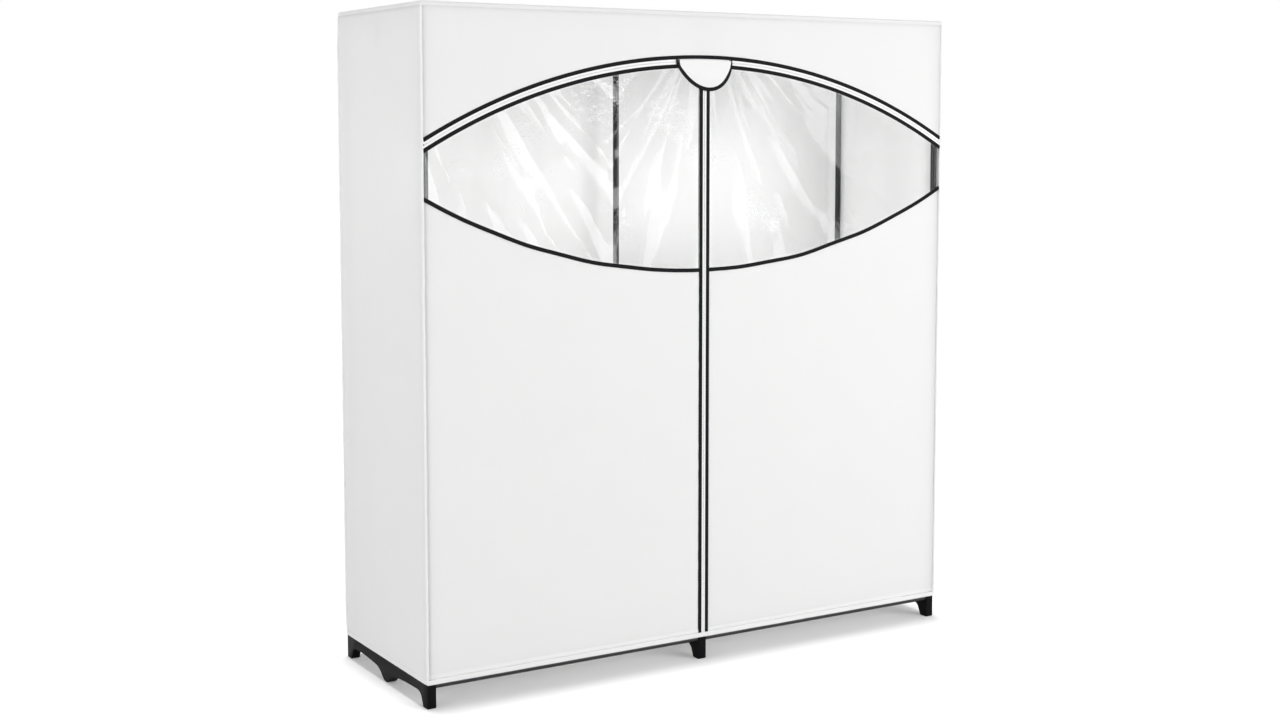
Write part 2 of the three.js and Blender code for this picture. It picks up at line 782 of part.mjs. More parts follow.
addSideFrames();
addCrossTubes();
addSidePanel("cover_side_left", -1);
addSidePanel("cover_side_right", 1);
addBackPanel();
addTopPanel();
addHeader();
addHem();
addPiping();
addArchZip();
addDoor("left", -1);
addDoor("right", 1);
addFlap();
addSliders();

export default wardrobe;
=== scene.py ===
"""A portable fabric wardrobe: its cloth cover, clear window, zips, bindings and black tube frame.

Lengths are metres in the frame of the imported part: +Z is up and the front faces -Y. Every piece stands for
one CAD node, apart from the stitches and the coil teeth, which are one piece for each body that carries them.
"""

import logging
import math
from dataclasses import dataclass
from enum import Enum
from functools import cached_property
from typing import Any, Callable, Sequence

import bmesh
import bpy
import numpy as np
from bpy.types import ID, Material, Mesh, NodeSocket, NodeTree, Object
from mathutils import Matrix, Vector


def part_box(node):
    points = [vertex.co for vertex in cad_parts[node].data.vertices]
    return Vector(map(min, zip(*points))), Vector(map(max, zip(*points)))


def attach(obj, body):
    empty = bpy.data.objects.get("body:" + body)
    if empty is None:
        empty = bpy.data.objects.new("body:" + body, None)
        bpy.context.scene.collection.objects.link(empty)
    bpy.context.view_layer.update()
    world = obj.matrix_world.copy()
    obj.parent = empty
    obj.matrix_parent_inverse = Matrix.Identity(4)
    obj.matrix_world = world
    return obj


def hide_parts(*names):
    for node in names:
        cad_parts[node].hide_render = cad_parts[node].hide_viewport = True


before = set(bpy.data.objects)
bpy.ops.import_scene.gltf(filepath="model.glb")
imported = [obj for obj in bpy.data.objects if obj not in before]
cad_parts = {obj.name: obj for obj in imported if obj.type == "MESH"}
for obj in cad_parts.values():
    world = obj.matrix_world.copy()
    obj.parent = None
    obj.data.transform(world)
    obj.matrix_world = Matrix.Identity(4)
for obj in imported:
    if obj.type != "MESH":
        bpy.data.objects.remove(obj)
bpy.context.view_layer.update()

PATTERN_MAP = "pattern"
# The attribute of painted light and shade on the cloth: painted shade beside seams and under the lid, and
# painted light on hems. On the film it marks extra opacity near its edges.
SEAM_SHADE = "seam"
TURN = 2 * math.pi
TINY = 1e-6

log = logging.getLogger("wardrobe")
Array = np.ndarray
Pair = tuple[float, float]
Triple = tuple[float, float, float]


# Choices.
class Slot(Enum):
    """The record's material slots."""

    CLOTH = "white_cloth"
    PIPING = "white_piping"
    BINDING = "black_binding"
    FILM = "clear_film"
    TAPE = "zip_tape"
    MOULDING = "black_moulding"
    TUBE = "black_tube"
    METAL = "slider_metal"


class Side(Enum):
    """Left and right of someone who faces the front."""

    LEFT = -1
    RIGHT = 1

    @property
    def word(self) -> str:
        """The side's name inside a node's name."""
        return self.name.lower()


class Wall(Enum):
    """An upright wall of the cover: the axis that it faces along, and the way it faces."""

    FRONT = (1, -1)
    BACK = (1, 1)
    LEFT = (0, -1)
    RIGHT = (0, 1)


# Driving places.
@dataclass(frozen=True)
class Datum:
    """Places that several sub-assemblies share, read from the frame where a node's box gives them."""

    half_width: float
    half_depth: float
    top: float
    hem: float
    door_bottom: float
    seam_x: float
    seam_y: float
    panel_inner: float
    front_middle: float
    arch_top: float = 1.50425
    arch_radius: float = 1.52025
    binding_spacing: float = 0.0215
    binding_width: float = 0.008
    window_height: float = 0.514
    window_radius: float = 1.597
    top_seam_drop: float = 0.0105
    gap: float = 0.0003

    @classmethod
    def from_frame(cls) -> "Datum":
        """Reads the places from the boxes of the CAD nodes.

        Returns:
            The wardrobe's datum.
        """
        lid, door, wall, binding = (
            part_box(node) for node in ("cover_top", "door_panel_right", "cover_side_left", "arch_binding")
        )
        return cls(
            half_width=lid[1].x,
            half_depth=lid[1].y,
            top=lid[1].z,
            hem=wall[0].z,
            door_bottom=door[0].z,
            seam_x=door[1].x,
            seam_y=wall[1].y,
            panel_inner=door[0].x,
            front_middle=(binding[0].y + binding[1].y) / 2,
        )

    @property
    def arch_centre(self) -> float:
        """The height of the centre of the arch zip's circle."""
        return self.arch_top - self.arch_radius

    @property
    def window_centre(self) -> float:
        """The height of the centre of the window's lower circle."""
        return self.arch_top - self.window_height + self.window_radius

    @property
    def seam_top(self) -> float:
        """The height of the seam between the walls and the lid."""
        return self.top - self.top_seam_drop

    def over_arc(self, radius: float, x: Array) -> Array:
        """The height of a circle about the arch's centre, at x."""
        return self.arch_centre + np.sqrt(radius**2 - np.asarray(x) ** 2)

    def under_arc(self, radius: float, x: Array) -> Array:
        """The height of a circle about the window's centre, at x."""
        return self.window_centre - np.sqrt(radius**2 - np.asarray(x) ** 2)


DATUM = Datum.from_frame()


# Shader maths.
class Value:
    """A number that varies over a surface. Arithmetic on it adds Math nodes."""

    def __init__(self, surface: "Surface", socket: NodeSocket) -> None:
        """Wraps a socket of a surface's nodes."""
        self.surface = surface
        self.socket = socket

    def to(self, operation: str, *operands: Any) -> "Value":
        """Applies a Math operation to this value and the operands that follow it."""
        return self.surface.maths(operation, self, *operands)

    def __add__(self, other: Any) -> "Value":
        """self + other."""
        return self.to("ADD", other)

    __radd__ = __add__

    def __sub__(self, other: Any) -> "Value":
        """self - other."""
        return self.to("SUBTRACT", other)

    def __rsub__(self, other: Any) -> "Value":
        """other - self."""
        return self.surface.maths("SUBTRACT", other, self)

    def __mul__(self, other: Any) -> "Value":
        """self * other."""
        return self.to("MULTIPLY", other)

    __rmul__ = __mul__

    def __pow__(self, other: Any) -> "Value":
        """self ** other."""
        return self.to("POWER", other)

    def step(self, low: float, high: float) -> "Value":
        """A smooth step.

        Args:
            low: Where it is 0.
            high: Where it is 1.

        Returns:
            The step.
        """
        settings = {"interpolation_type": "SMOOTHSTEP"}
        values = {"Value": self, "From Min": low, "From Max": high}
        return Value(self.surface, self.surface.add("ShaderNodeMapRange", settings, values).outputs["Result"])

    def ripple(self, pitch: float) -> "Value":
        """A wave from -1 to 1 that repeats once in a pitch."""
        return (self * (TURN / pitch)).to("SINE")


class Nodes:
    """A node tree, with one method that adds any node."""

    def __init__(self, tree: NodeTree) -> None:
        """Takes the tree that its nodes go into."""
        self.tree = tree

    def add(self, kind: str, settings: dict | None = None, values: dict | None = None) -> Any:
        """Adds a node.

        Args:
            kind: The node's type name.
            settings: Its own settings, which are set first.
            values: A number, colour, Value or socket for each input, by name or by place.

        Returns:
            The node.
        """
        node = self.tree.nodes.new(kind)
        for name, setting in (settings or {}).items():
            setattr(node, name, setting)
        for key, value in (values or {}).items():
            source = value.socket if isinstance(value, Value) else value
            if isinstance(source, NodeSocket):
                self.tree.links.new(source, node.inputs[key])
            else:
                node.inputs[key].default_value = source
        return node


class Surface(Nodes):
    """A material while its nodes are being set."""

    def __init__(self, name: str) -> None:
        """Starts a material that has only its output."""
        self.material = bpy.data.materials.new(name)
        self.material.use_nodes = True
        super().__init__(self.material.node_tree)
        self.tree.nodes.clear()
        self.output = self.tree.nodes.new("ShaderNodeOutputMaterial")

    def maths(self, operation: str, *operands: Any) -> Value:
        """A Math node's result for the operands, which are numbers or Values."""
        node = self.add("ShaderNodeMath", {"operation": operation}, dict(enumerate(operands)))
        return Value(self, node.outputs[0])

    @cached_property
    def place(self) -> tuple[Value, Value, Value]:
        """The object coordinates, in metres."""
        coordinates = self.add("ShaderNodeTexCoord").outputs["Object"]
        parts = self.add("ShaderNodeSeparateXYZ", None, {0: coordinates})
        return tuple(Value(self, socket) for socket in parts.outputs)

    @cached_property
    def pattern(self) -> tuple[Value, Value]:
        """The pattern map's coordinates, in metres along and across the cloth."""
        mapped = self.add("ShaderNodeUVMap", {"uv_map": PATTERN_MAP}).outputs["UV"]
        parts = self.add("ShaderNodeSeparateXYZ", None, {0: mapped})
        return Value(self, parts.outputs[0]), Value(self, parts.outputs[1])

    @cached_property
    def seam(self) -> Value:
        """The piece's own seam attribute: painted shade beside seams and painted light on hems on the cloth,
        and extra opacity near the film's edges.
        """
        return Value(self, self.add("ShaderNodeAttribute", {"attribute_name": SEAM_SHADE}).outputs["Fac"])

    def vector(self, *parts: Any) -> NodeSocket:
        """Two or three numbers or Values as one vector."""
        return self.add("ShaderNodeCombineXYZ", None, dict(enumerate(parts))).outputs[0]

    def noise(self, scale: float, detail: float = 2.0, at: Any = None, distortion: float = 0.0) -> Value:
        """Noise from 0 to 1.

        Args:
            scale: How many waves there are in a metre.
            detail: Its finer layers.
            at: Where it is read, or None for the object coordinates.
            distortion: How far it is stirred.

        Returns:
            The noise.
        """
        vector = self.vector(*self.place) if at is None else at
        values = {"Vector": vector, "Scale": scale, "Detail": detail, "Distortion": distortion}
        return Value(self, self.add("ShaderNodeTexNoise", None, values).outputs["Fac"])

    def colours(self, factor: Value, low: Triple, high: Triple, clamped: bool = True) -> NodeSocket:
        """A colour between two others, which it may pass where it isn't clamped.

        Args:
            factor: 0 for the first colour and 1 for the second.
            low: The first colour.
            high: The second colour.
            clamped: Whether it stops at both colours.

        Returns:
            The colour.
        """
        settings = {"data_type": "RGBA", "clamp_factor": clamped}
        node = self.add("ShaderNodeMix", settings, {0: factor, 6: (*low, 1.0), 7: (*high, 1.0)})
        return node.outputs[2]

    def bump(self, height: Value, distance: float, strength: float = 0.8) -> NodeSocket:
        """A normal from a height of 0 to 1, where 1 stands one distance proud."""
        values = {"Height": height, "Distance": distance, "Strength": strength}
        return self.add("ShaderNodeBump", None, values).outputs[0]

    def principled(self, **values: Any) -> NodeSocket:
        """A Principled shader. An input's name has underscores in place of spaces."""
        named = {name.replace("_", " "): value for name, value in values.items()}
        return self.add("ShaderNodeBsdfPrincipled", None, named).outputs[0]

    def finish(self, shader: NodeSocket) -> Material:
        """Ends the material with its shader and returns it."""
        self.tree.links.new(shader, self.output.inputs["Surface"])
        return self.material


# Finishes.
@dataclass(frozen=True)
class Finish:
    """How one material looks, and the record's slot that it belongs to."""

    name: str
    slot: Slot

    def shader(self, surface: Surface) -> NodeSocket:
        """Adds the finish's nodes to a surface and returns its shader."""
        raise NotImplementedError

    def material(self) -> Material:
        """Finds the finish's material, or makes it at its first use.

        Returns:
            The material.
        """
        found = bpy.data.materials.get(self.name)
        if found:
            return found
        surface = Surface(self.name)
        return surface.finish(self.shader(surface))


@dataclass(frozen=True)
class ClothFinish(Finish):
    """Non-woven cloth: bonded dots, tangled fibres, faint mottling, some light that comes through, and
    painted shade and hem light from its seam attribute.
    """

    colour: Triple = (0.955, 0.955, 0.953)
    mottle: float = 0.03
    dot_pitch: float = 0.0032
    dot_depth: float = 0.00012
    dot_edge: Pair = (0.35, 0.85)
    fibre_scale: float = 700.0
    cloud_scale: float = 9.0
    fleck_scale: float = 160.0
    tone_shares: tuple[float, ...] = (0.55, 0.3, -0.12, 0.15)
    rough: Pair = (0.82, 0.12)
    through: float = 0.22
    # How strongly the seam attribute paints shade into the colour.
    seam_dark: float = 0.2
    specular: float = 0.2

    def shader(self, surface: Surface) -> NodeSocket:
        """Mixes a matt reflecting cloth with one that passes light.

        Args:
            surface: The surface that takes its nodes.

        Returns:
            Its shader.
        """
        along, across = surface.pattern
        flat = surface.vector(along, across)
        dots = (along.ripple(self.dot_pitch) * across.ripple(self.dot_pitch)).step(*self.dot_edge)
        fibres = surface.noise(self.fibre_scale, 3.0, flat, 0.6)
        clouds = surface.noise(self.cloud_scale, 4.0, flat)
        flecks = surface.noise(self.fleck_scale, 2.0, flat)
        by_cloud, by_fleck, by_dot, by_fibre = self.tone_shares
        light = clouds * by_cloud + flecks * by_fleck + dots * by_dot + fibres * by_fibre
        # Painted shade: the seam attribute darkens the random mottling beside seams, under the lid and along
        # hem stitch lines, and lightens the hems where it is negative.
        shade = light - surface.seam * (self.seam_dark / self.mottle)
        low = tuple(channel * (1 - self.mottle) for channel in self.colour)
        roughness, fibre_rough = self.rough
        face = surface.principled(
            Base_Color=surface.colours(shade, low, self.colour, clamped=False),
            Roughness=roughness + fibres * fibre_rough,
            Specular_IOR_Level=self.specular,
            Normal=surface.bump(fibres * 0.5 - dots + clouds * 0.5, self.dot_depth),
        )
        inside = surface.add("ShaderNodeBsdfTranslucent", None, {"Color": (*self.colour, 1.0)}).outputs[0]
        mixed = surface.add("ShaderNodeMixShader", None, {0: self.through, 1: face, 2: inside})
        return mixed.outputs[0]


@dataclass(frozen=True)
class FilmFinish(Finish):
    """Clear soft film with creases that fan out from where it is pulled."""

    colour: Triple = (0.97, 0.975, 0.985)
    haze: float = 0.003
    crease: float = 0.08
    # Opacity of the painted sheen and of the painted glints, whose gloss catches the lamps as painted
    # highlights.
    sheen: float = 0.028
    glint: float = 0.34
    margin: float = 0.15
    roughness: float = 0.34
    gloss: float = 0.2
    crease_depth: float = 0.0012
    left_fan: Pair = (-0.97, 1.96)
    left_fan_folds: Pair = (24.0, 3.2)
    centre_fan: Pair = (0.0, 1.65)
    centre_fan_folds: Pair = (10.0, 3.0)
    fan_border: Pair = (-0.34, -0.2)
    # Where painted glints gather on crumpled film near the left pole, and how far they reach.
    crumpled: Pair = (-0.3, 1.43)
    crumpled_reach: Pair = (0.03, 0.13)
    crumple_scale: float = 26.0
    crumple_stretch: float = 2.2
    glint_width: float = 0.018
    patch_scale: float = 5.0
    patch_edge: Pair = (0.56, 0.7)
    streak_edge: Pair = (0.52, 0.58)
    streak_gain: Pair = (1.4, 0.6)
    pool_scale: float = 3.1
    pool_shift: float = 0.4
    pool_edge: Pair = (0.5, 0.54)
    upper_edge: Pair = (1.28, 1.4)
    upper_lean: float = 0.2
    milky: Triple = (0.93, 0.935, 0.945)
    densest: float = 0.95
    fade: Pair = (0.36, 0.5)
    fade_share: float = 0.9

    def fan(self, surface: Surface, centre: Pair, count: float, drift: float) -> Value:
        """Streaks from 0 to 1 that spread from a centre.

        Args:
            surface: The film's surface.
            centre: The fan's centre, as x and z.
            count: How many streaks there are in a radian, roughly.
            drift: How fast a streak changes along its length.

        Returns:
            The streaks.
        """
        x, _, z = surface.place
        sideways = x - centre[0]
        down = centre[1] - z
        angle = sideways.to("ARCTAN2", down)
        reach = (sideways * sideways + down * down) ** 0.5
        at = surface.vector(angle * count, reach * drift)
        return surface.noise(1.0, 3.0, at, 0.35)

    def shader(self, surface: Surface) -> NodeSocket:
        """A thin glossy film, milkier and more opaque along its creases, whose opaque masks catch the lamps
        as painted highlights: crease streaks, a painted sheen and painted glints.

        Args:
            surface: The surface that takes its nodes.

        Returns:
            Its shader.
        """
        x, _, z = surface.place
        right = x.step(*self.fan_border)
        left_part = self.fan(surface, self.left_fan, *self.left_fan_folds) * (1 - right)
        middle_part = self.fan(surface, self.centre_fan, *self.centre_fan_folds) * right
        fans = left_part + middle_part
        calm = 1 - x.step(*self.fade) * self.fade_share
        gain, right_loss = self.streak_gain
        streaks = fans.step(*self.streak_edge) * (gain - right * right_loss) * calm
        # Painted sheen: a broad patchy mask, stronger in the middle and weaker higher up and at the far
        # right, that lifts the opacity so the film's gloss reads as a soft reflection.
        upper = (z - x * self.upper_lean).step(*self.upper_edge)
        pools = surface.noise(self.pool_scale, 2.0, surface.vector(x + self.pool_shift, z))
        sheen = (pools + right * 0.06 - upper * 0.1).step(*self.pool_edge) * calm
        crumple = surface.noise(self.crumple_scale, 5.0, surface.vector(x, z * self.crumple_stretch), 2.2)
        # Painted glints: thin lines of the crumple noise in random patches and round the crumpled spot, made
        # nearly opaque so their gloss reads as bright glints.
        sideways, down = x - self.crumpled[0], z - self.crumpled[1]
        near = 1 - ((sideways * sideways + down * down) ** 0.5).step(*self.crumpled_reach)
        patches = surface.noise(self.patch_scale, 1.0, surface.vector(x, z)).step(*self.patch_edge) + near
        glints = (1 - (crumple - 0.5).to("ABSOLUTE").step(0.0, self.glint_width)) * patches * calm
        # The crease streaks are milky creases and painted highlights at once; the sheen and glints are
        # painted highlights; the seam attribute adds opacity near the edges.
        cover = streaks * self.crease + sheen * self.sheen + glints * self.glint + surface.seam * self.margin
        return surface.principled(
            Base_Color=surface.colours(streaks, self.milky, self.colour),
            Metallic=self.gloss,
            Roughness=self.roughness + crumple * 0.1,
            Alpha=(cover + self.haze).to("MINIMUM", self.densest),
            IOR=1.45,
            Normal=surface.bump(fans + crumple * 0.25, self.crease_depth, 0.5),
        )


@dataclass(frozen=True)
class WovenFinish(Finish):
    """Woven tape: ribs across its length, and yarns along it."""

    dark: Triple = (0.008, 0.008, 0.009)
    light: Triple = (0.014, 0.014, 0.015)
    specular: float = 0.08
    rib_pitch: float = 0.0011
    yarn_pitch: float = 0.0009
    depth: float = 0.00022
    rough: float = 0.72
    lint_scale: float = 900.0
    wear_scale: float = 30.0

    def shader(self, surface: Surface) -> NodeSocket:
        """A rough ribbed weave.

        Args:
            surface: The surface that takes its nodes.

        Returns:
            Its shader.
        """
        along, across = surface.pattern
        ribs = along.ripple(self.rib_pitch) * 0.5 + 0.5
        yarns = across.ripple(self.yarn_pitch) * 0.5 + 0.5
        lint = surface.noise(self.lint_scale, 2.0)
        wear = surface.noise(self.wear_scale, 3.0)
        weave = ribs * 0.6 + yarns * 0.25 + lint * 0.3
        return surface.principled(
            Base_Color=surface.colours(weave * 0.6 + wear * 0.3, self.dark, self.light),
            Roughness=self.rough + lint * 0.2,
            Specular_IOR_Level=self.specular,
            Normal=surface.bump(weave, self.depth),
        )


@dataclass(frozen=True)
class SolidFinish(Finish):
    """Moulded plastic, coated steel, plated metal, thread or nylon: a grain, and slow changes of tone."""

    dark: Triple = (0.0105, 0.0105, 0.0115)
    light: Triple = (0.017, 0.017, 0.018)
    metallic: float = 0.0
    rough: Pair = (0.42, 0.56)
    grain_scale: float = 900.0
    grain_depth: float = 0.00006
    tone_scale: float = 18.0
    scuff_scale: float = 60.0
    scuff_stretch: float = 0.25
    scuff_edge: Pair = (0.6, 0.78)
    scuffs: float = 0.25
    relief: float = 0.6
    specular: float = 0.2

    def shader(self, surface: Surface) -> NodeSocket:
        """A grained surface with faint scuffs.

        Args:
            surface: The surface that takes its nodes.

        Returns:
            Its shader.
        """
        grain = surface.noise(self.grain_scale, 2.0)
        tone = surface.noise(self.tone_scale, 4.0)
        x, y, z = surface.place
        at = surface.vector(x, y, z * self.scuff_stretch)
        rubbed = surface.noise(self.scuff_scale, 4.0, at, 1.5).step(*self.scuff_edge)
        low, high = self.rough
        return surface.principled(
            Base_Color=surface.colours(tone * 0.7 + rubbed * self.scuffs, self.dark, self.light),
            Metallic=self.metallic,
            Roughness=low + (high - low) * (grain * 0.5 + tone * 0.5) + rubbed * 0.06,
            Specular_IOR_Level=self.specular,
            Normal=surface.bump(grain, self.grain_depth, self.relief),
        )


WHITE_CLOTH = ClothFinish("bonded_cloth", Slot.CLOTH)
FLAP_CLOTH = ClothFinish("flap_cloth", Slot.CLOTH, through=0.1)
PIPING_CLOTH = ClothFinish(
    "piping_cloth", Slot.PIPING, colour=(0.975, 0.975, 0.975), through=0.12, dot_pitch=0.0024
)
CLEAR_FILM = FilmFinish("soft_film", Slot.FILM)
BLACK_BINDING = WovenFinish("woven_binding", Slot.BINDING)
ZIP_TAPE = WovenFinish(
    "woven_tape", Slot.TAPE, dark=(0.93, 0.93, 0.93), light=(0.975, 0.975, 0.975), rib_pitch=0.0013,
    depth=0.00012,
)
BLACK_PLASTIC = SolidFinish(
    "black_plastic", Slot.MOULDING, dark=(0.0045, 0.0045, 0.005), light=(0.0075, 0.0075, 0.0085),
    specular=0.04,
)
BLACK_COAT = SolidFinish(
    "black_coat", Slot.TUBE, dark=(0.008, 0.008, 0.009), light=(0.012, 0.012, 0.013), rough=(0.24, 0.34),
    grain_scale=420.0, grain_depth=0.00004, scuffs=0.15, specular=0.35,
)
NICKEL = SolidFinish(
    "nickel", Slot.METAL, dark=(0.52, 0.52, 0.53), light=(0.68, 0.68, 0.69), metallic=1.0, rough=(0.24, 0.38),
    grain_scale=1500.0, grain_depth=0.00002, specular=0.5,
)
WHITE_THREAD = SolidFinish(
    "white_thread", Slot.PIPING, dark=(0.84, 0.84, 0.84), light=(0.93, 0.93, 0.93), rough=(0.6, 0.8),
    specular=0.25,
)
BLACK_THREAD = SolidFinish(
    "black_thread", Slot.BINDING, dark=(0.014, 0.014, 0.015), light=(0.024, 0.024, 0.025), rough=(0.5, 0.65),
)
COIL_NYLON = SolidFinish(
    "coil_nylon", Slot.TAPE, dark=(0.88, 0.88, 0.89), light=(0.94, 0.94, 0.95), rough=(0.3, 0.42),
)


# Meshes.
class Crease(Enum):
    """The angle, in degrees, past which an edge stays sharp."""

    MOULDED = 35.0
    METAL = 40.0
    CLOTH = 50.0
    CORD = 60.0


class Draft:
    """Points, faces and pattern coordinates that are gathered before they become one mesh."""

    def __init__(self) -> None:
        """Starts with nothing in it."""
        self.points: list[Array] = []
        self.shades: list[Array] = []
        self.faces: list[Array] = []
        self.corners: list[Array] = []
        self.count = 0

    def keep(self, points: Array, shade: Array | float = 0.0) -> int:
        """Adds points.

        Args:
            points: The points.
            shade: Their seam shade.

        Returns:
            The number of the first one.
        """
        start = self.count
        self.points.append(points.reshape(-1, 3))
        self.count += len(self.points[-1])
        self.shades.append(np.broadcast_to(np.asarray(shade, float).ravel(), (self.count - start,)))
        return start

    def grid(
        self,
        points: Array,
        places: Array,
        round_rows: bool = False,
        round_columns: bool = False,
        shade: Array | float = 0.0,
    ) -> Array:
        """Adds a grid of quads.

        Args:
            points: Its points, as rows, columns and 3.
            places: Their pattern coordinates, with one more row or column where the grid closes on itself.
            round_rows: Whether the last row joins the first.
            round_columns: Whether the last column joins the first.
            shade: The seam shade of the points.

        Returns:
            The number of each point, as rows and columns.
        """
        rows, columns = points.shape[:2]
        start = self.keep(points, shade)
        i = np.arange(rows - (not round_rows))[:, None]
        j = np.arange(columns - (not round_columns))[None, :]
        turns = [(0, 0), (0, 1), (1, 1), (1, 0)]
        numbers = [start + ((i + di) % rows) * columns + (j + dj) % columns for di, dj in turns]
        self.faces.append(np.stack(numbers, -1).reshape(-1, 4))
        self.corners.append(np.stack([places[i + di, j + dj] for di, dj in turns], -2).reshape(-1, 4, 2))
        return start + np.arange(rows * columns).reshape(rows, columns)

    def cap(self, ring: Array) -> None:
        """Closes a ring of points with one flat face."""
        self.faces.append(ring.reshape(1, -1))
        self.corners.append(np.zeros((1, len(ring), 2)))

    def tube(self, points: Array, along: Array, around: Array) -> None:
        """Adds rings of points as a tube, with a flat face over each end.

        Args:
            points: The points, as rings, sides and 3.
            along: The pattern's place at each ring.
            around: The pattern's places round a ring, with the first side again at the end.
        """
        places = np.stack(np.meshgrid(along, around, indexing="ij"), -1)
        numbers = self.grid(points, places, round_columns=True)
        self.cap(numbers[0])
        self.cap(numbers[-1][::-1])

    def piece(self, node: str, finish: Finish, body: str, crease: Crease) -> None:
        """Makes the piece that stands for a node."""
        dress(smooth(self.build(node), crease), finish, body, node)

    def build(self, name: str, closed: bool = True) -> Object:
        """Makes the mesh object.

        Args:
            name: The piece's name.
            closed: Whether its faces can be turned outwards.

        Returns:
            The object, at the origin.
        """
        mesh = bpy.data.meshes.new(name)
        points = np.concatenate(self.points)
        sizes = np.concatenate([np.full(len(faces), faces.shape[1]) for faces in self.faces])
        numbers = np.concatenate([faces.ravel() for faces in self.faces])
        mesh.vertices.add(len(points))
        mesh.vertices.foreach_set("co", points.astype(np.float32).ravel())
        mesh.loops.add(len(numbers))
        mesh.polygons.add(len(sizes))
        mesh.polygons.foreach_set("loop_start", np.concatenate([[0], np.cumsum(sizes)[:-1]]).astype(np.int32))
        mesh.polygons.foreach_set("vertices", numbers.astype(np.int32))
        pattern = mesh.uv_layers.new(name=PATTERN_MAP)
        places = np.concatenate([corners.reshape(-1, 2) for corners in self.corners])
        pattern.data.foreach_set("uv", places.astype(np.float32).ravel())
        seam = mesh.attributes.new(SEAM_SHADE, "FLOAT", "POINT")
        seam.data.foreach_set("value", np.concatenate(self.shades).astype(np.float32))
        mesh.update(calc_edges=True)
        mesh.validate()
        if closed:
            turn_outwards(mesh)
        return linked(name, mesh)


def linked(name: str, data: ID) -> Object:
    """Makes an object in the scene.

    Args:
        name: Its name.
        data: Its mesh, lamp or camera.

    Returns:
        The object.
    """
    made = bpy.data.objects.new(name, data)
    bpy.context.scene.collection.objects.link(made)
    return made


def turn_outwards(mesh: Mesh, merge: float = 0.0) -> None:
    """Turns the faces of a closed mesh outwards.

    Args:
        mesh: The mesh.
        merge: How close points are that are merged first, or 0 for none.
    """
    work = bmesh.new()
    work.from_mesh(mesh)
    if merge:
        bmesh.ops.remove_doubles(work, verts=work.verts, dist=merge)
    bmesh.ops.recalc_face_normals(work, faces=work.faces)
    work.to_mesh(mesh)
    work.free()


def settle(piece: Object) -> Object:
    """Applies a piece's modifiers, so that only its plain mesh is left.

    Args:
        piece: The piece.

    Returns:
        The piece.
    """
    graph = bpy.context.evaluated_depsgraph_get()
    shown = piece.evaluated_get(graph)
    mesh = bpy.data.meshes.new_from_object(shown, preserve_all_data_layers=True, depsgraph=graph)
    piece.modifiers.clear()
    piece.data = mesh
    return piece


def smooth(piece: Object, crease: Crease) -> Object:
    """Shades a piece smooth, apart from its creases.

    Args:
        piece: The piece.
        crease: How sharp an edge is that stays sharp.

    Returns:
        The piece.
    """
    piece.data.shade_smooth()
    piece.data.set_sharp_from_angle(angle=math.radians(crease.value))
    return piece


def piece_name(node: str, finish: Finish) -> str:
    """The name of the piece that stands for a node."""
    return f"{node}.{finish.slot.value}"


def dress(piece: Object, finish: Finish, body: str, *nodes: str) -> None:
    """Gives a finished piece its material, its body and the nodes that it stands for.

    Args:
        piece: The piece, whose mesh is final.
        finish: Its finish.
        body: The CAD body that it rides on.
        nodes: The CAD nodes that it stands for.
    """
    piece.data.materials.clear()
    piece.data.materials.append(finish.material())
    if nodes:
        piece.name = piece_name(nodes[0], finish)
    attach(piece, body)
    if nodes:
        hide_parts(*nodes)
    log.info("%s: %d faces on %s", piece.name, len(piece.data.polygons), body)


def spread(start: float, end: float, step: float, near: Sequence[float] = ()) -> Array:
    """Even places between two ends.

    Args:
        start: The first place.
        end: The last place.
        step: About how far apart they are.
        near: Distances from both ends at which there are extra places.

    Returns:
        The places.
    """
    inner = max(near, default=0.0)
    count = max(2, round((end - start - 2 * inner) / step) + 1)
    middle = np.linspace(start + inner, end - inner, count)
    low = [start + place for place in near if place < inner]
    high = [end - place for place in near if place < inner]
    return np.array([*low, *middle, *reversed(high)])


def area_under(heights: Array, places: Array) -> float:
    """The area under a line of heights."""
    return float(((heights[1:] + heights[:-1]) / 2 * np.diff(places)).sum())


def smooth_peak(distance: Array, width: float) -> Array:
    """1 next to a line, and near 0 from about twice the width away."""
    return np.exp(-((distance / width) ** 2))


def waves(along: Array, up: Array, seed: int, count: int, lengths: Pair, lean: float) -> Array:
    """Soft seeded waves, about -1 to 1.

    Args:
        along: Places across the cloth.
        up: Heights.
        seed: The seed of the waves' lengths and directions.
        count: How many waves are added.
        lengths: The shortest and the longest wave.
        lean: The largest angle between a fold and the upright.

    Returns:
        The sum of the waves.
    """
    draw = np.random.default_rng(seed)
    total = np.zeros(np.broadcast(along, up).shape)
    for _ in range(count):
        length = math.exp(draw.uniform(*np.log(lengths)))
        angle = draw.uniform(-lean, lean)
        phase = draw.uniform(0, TURN)
        total += np.sin(TURN * (along * math.cos(angle) + up * math.sin(angle)) / length + phase)
    return total / math.sqrt(count)


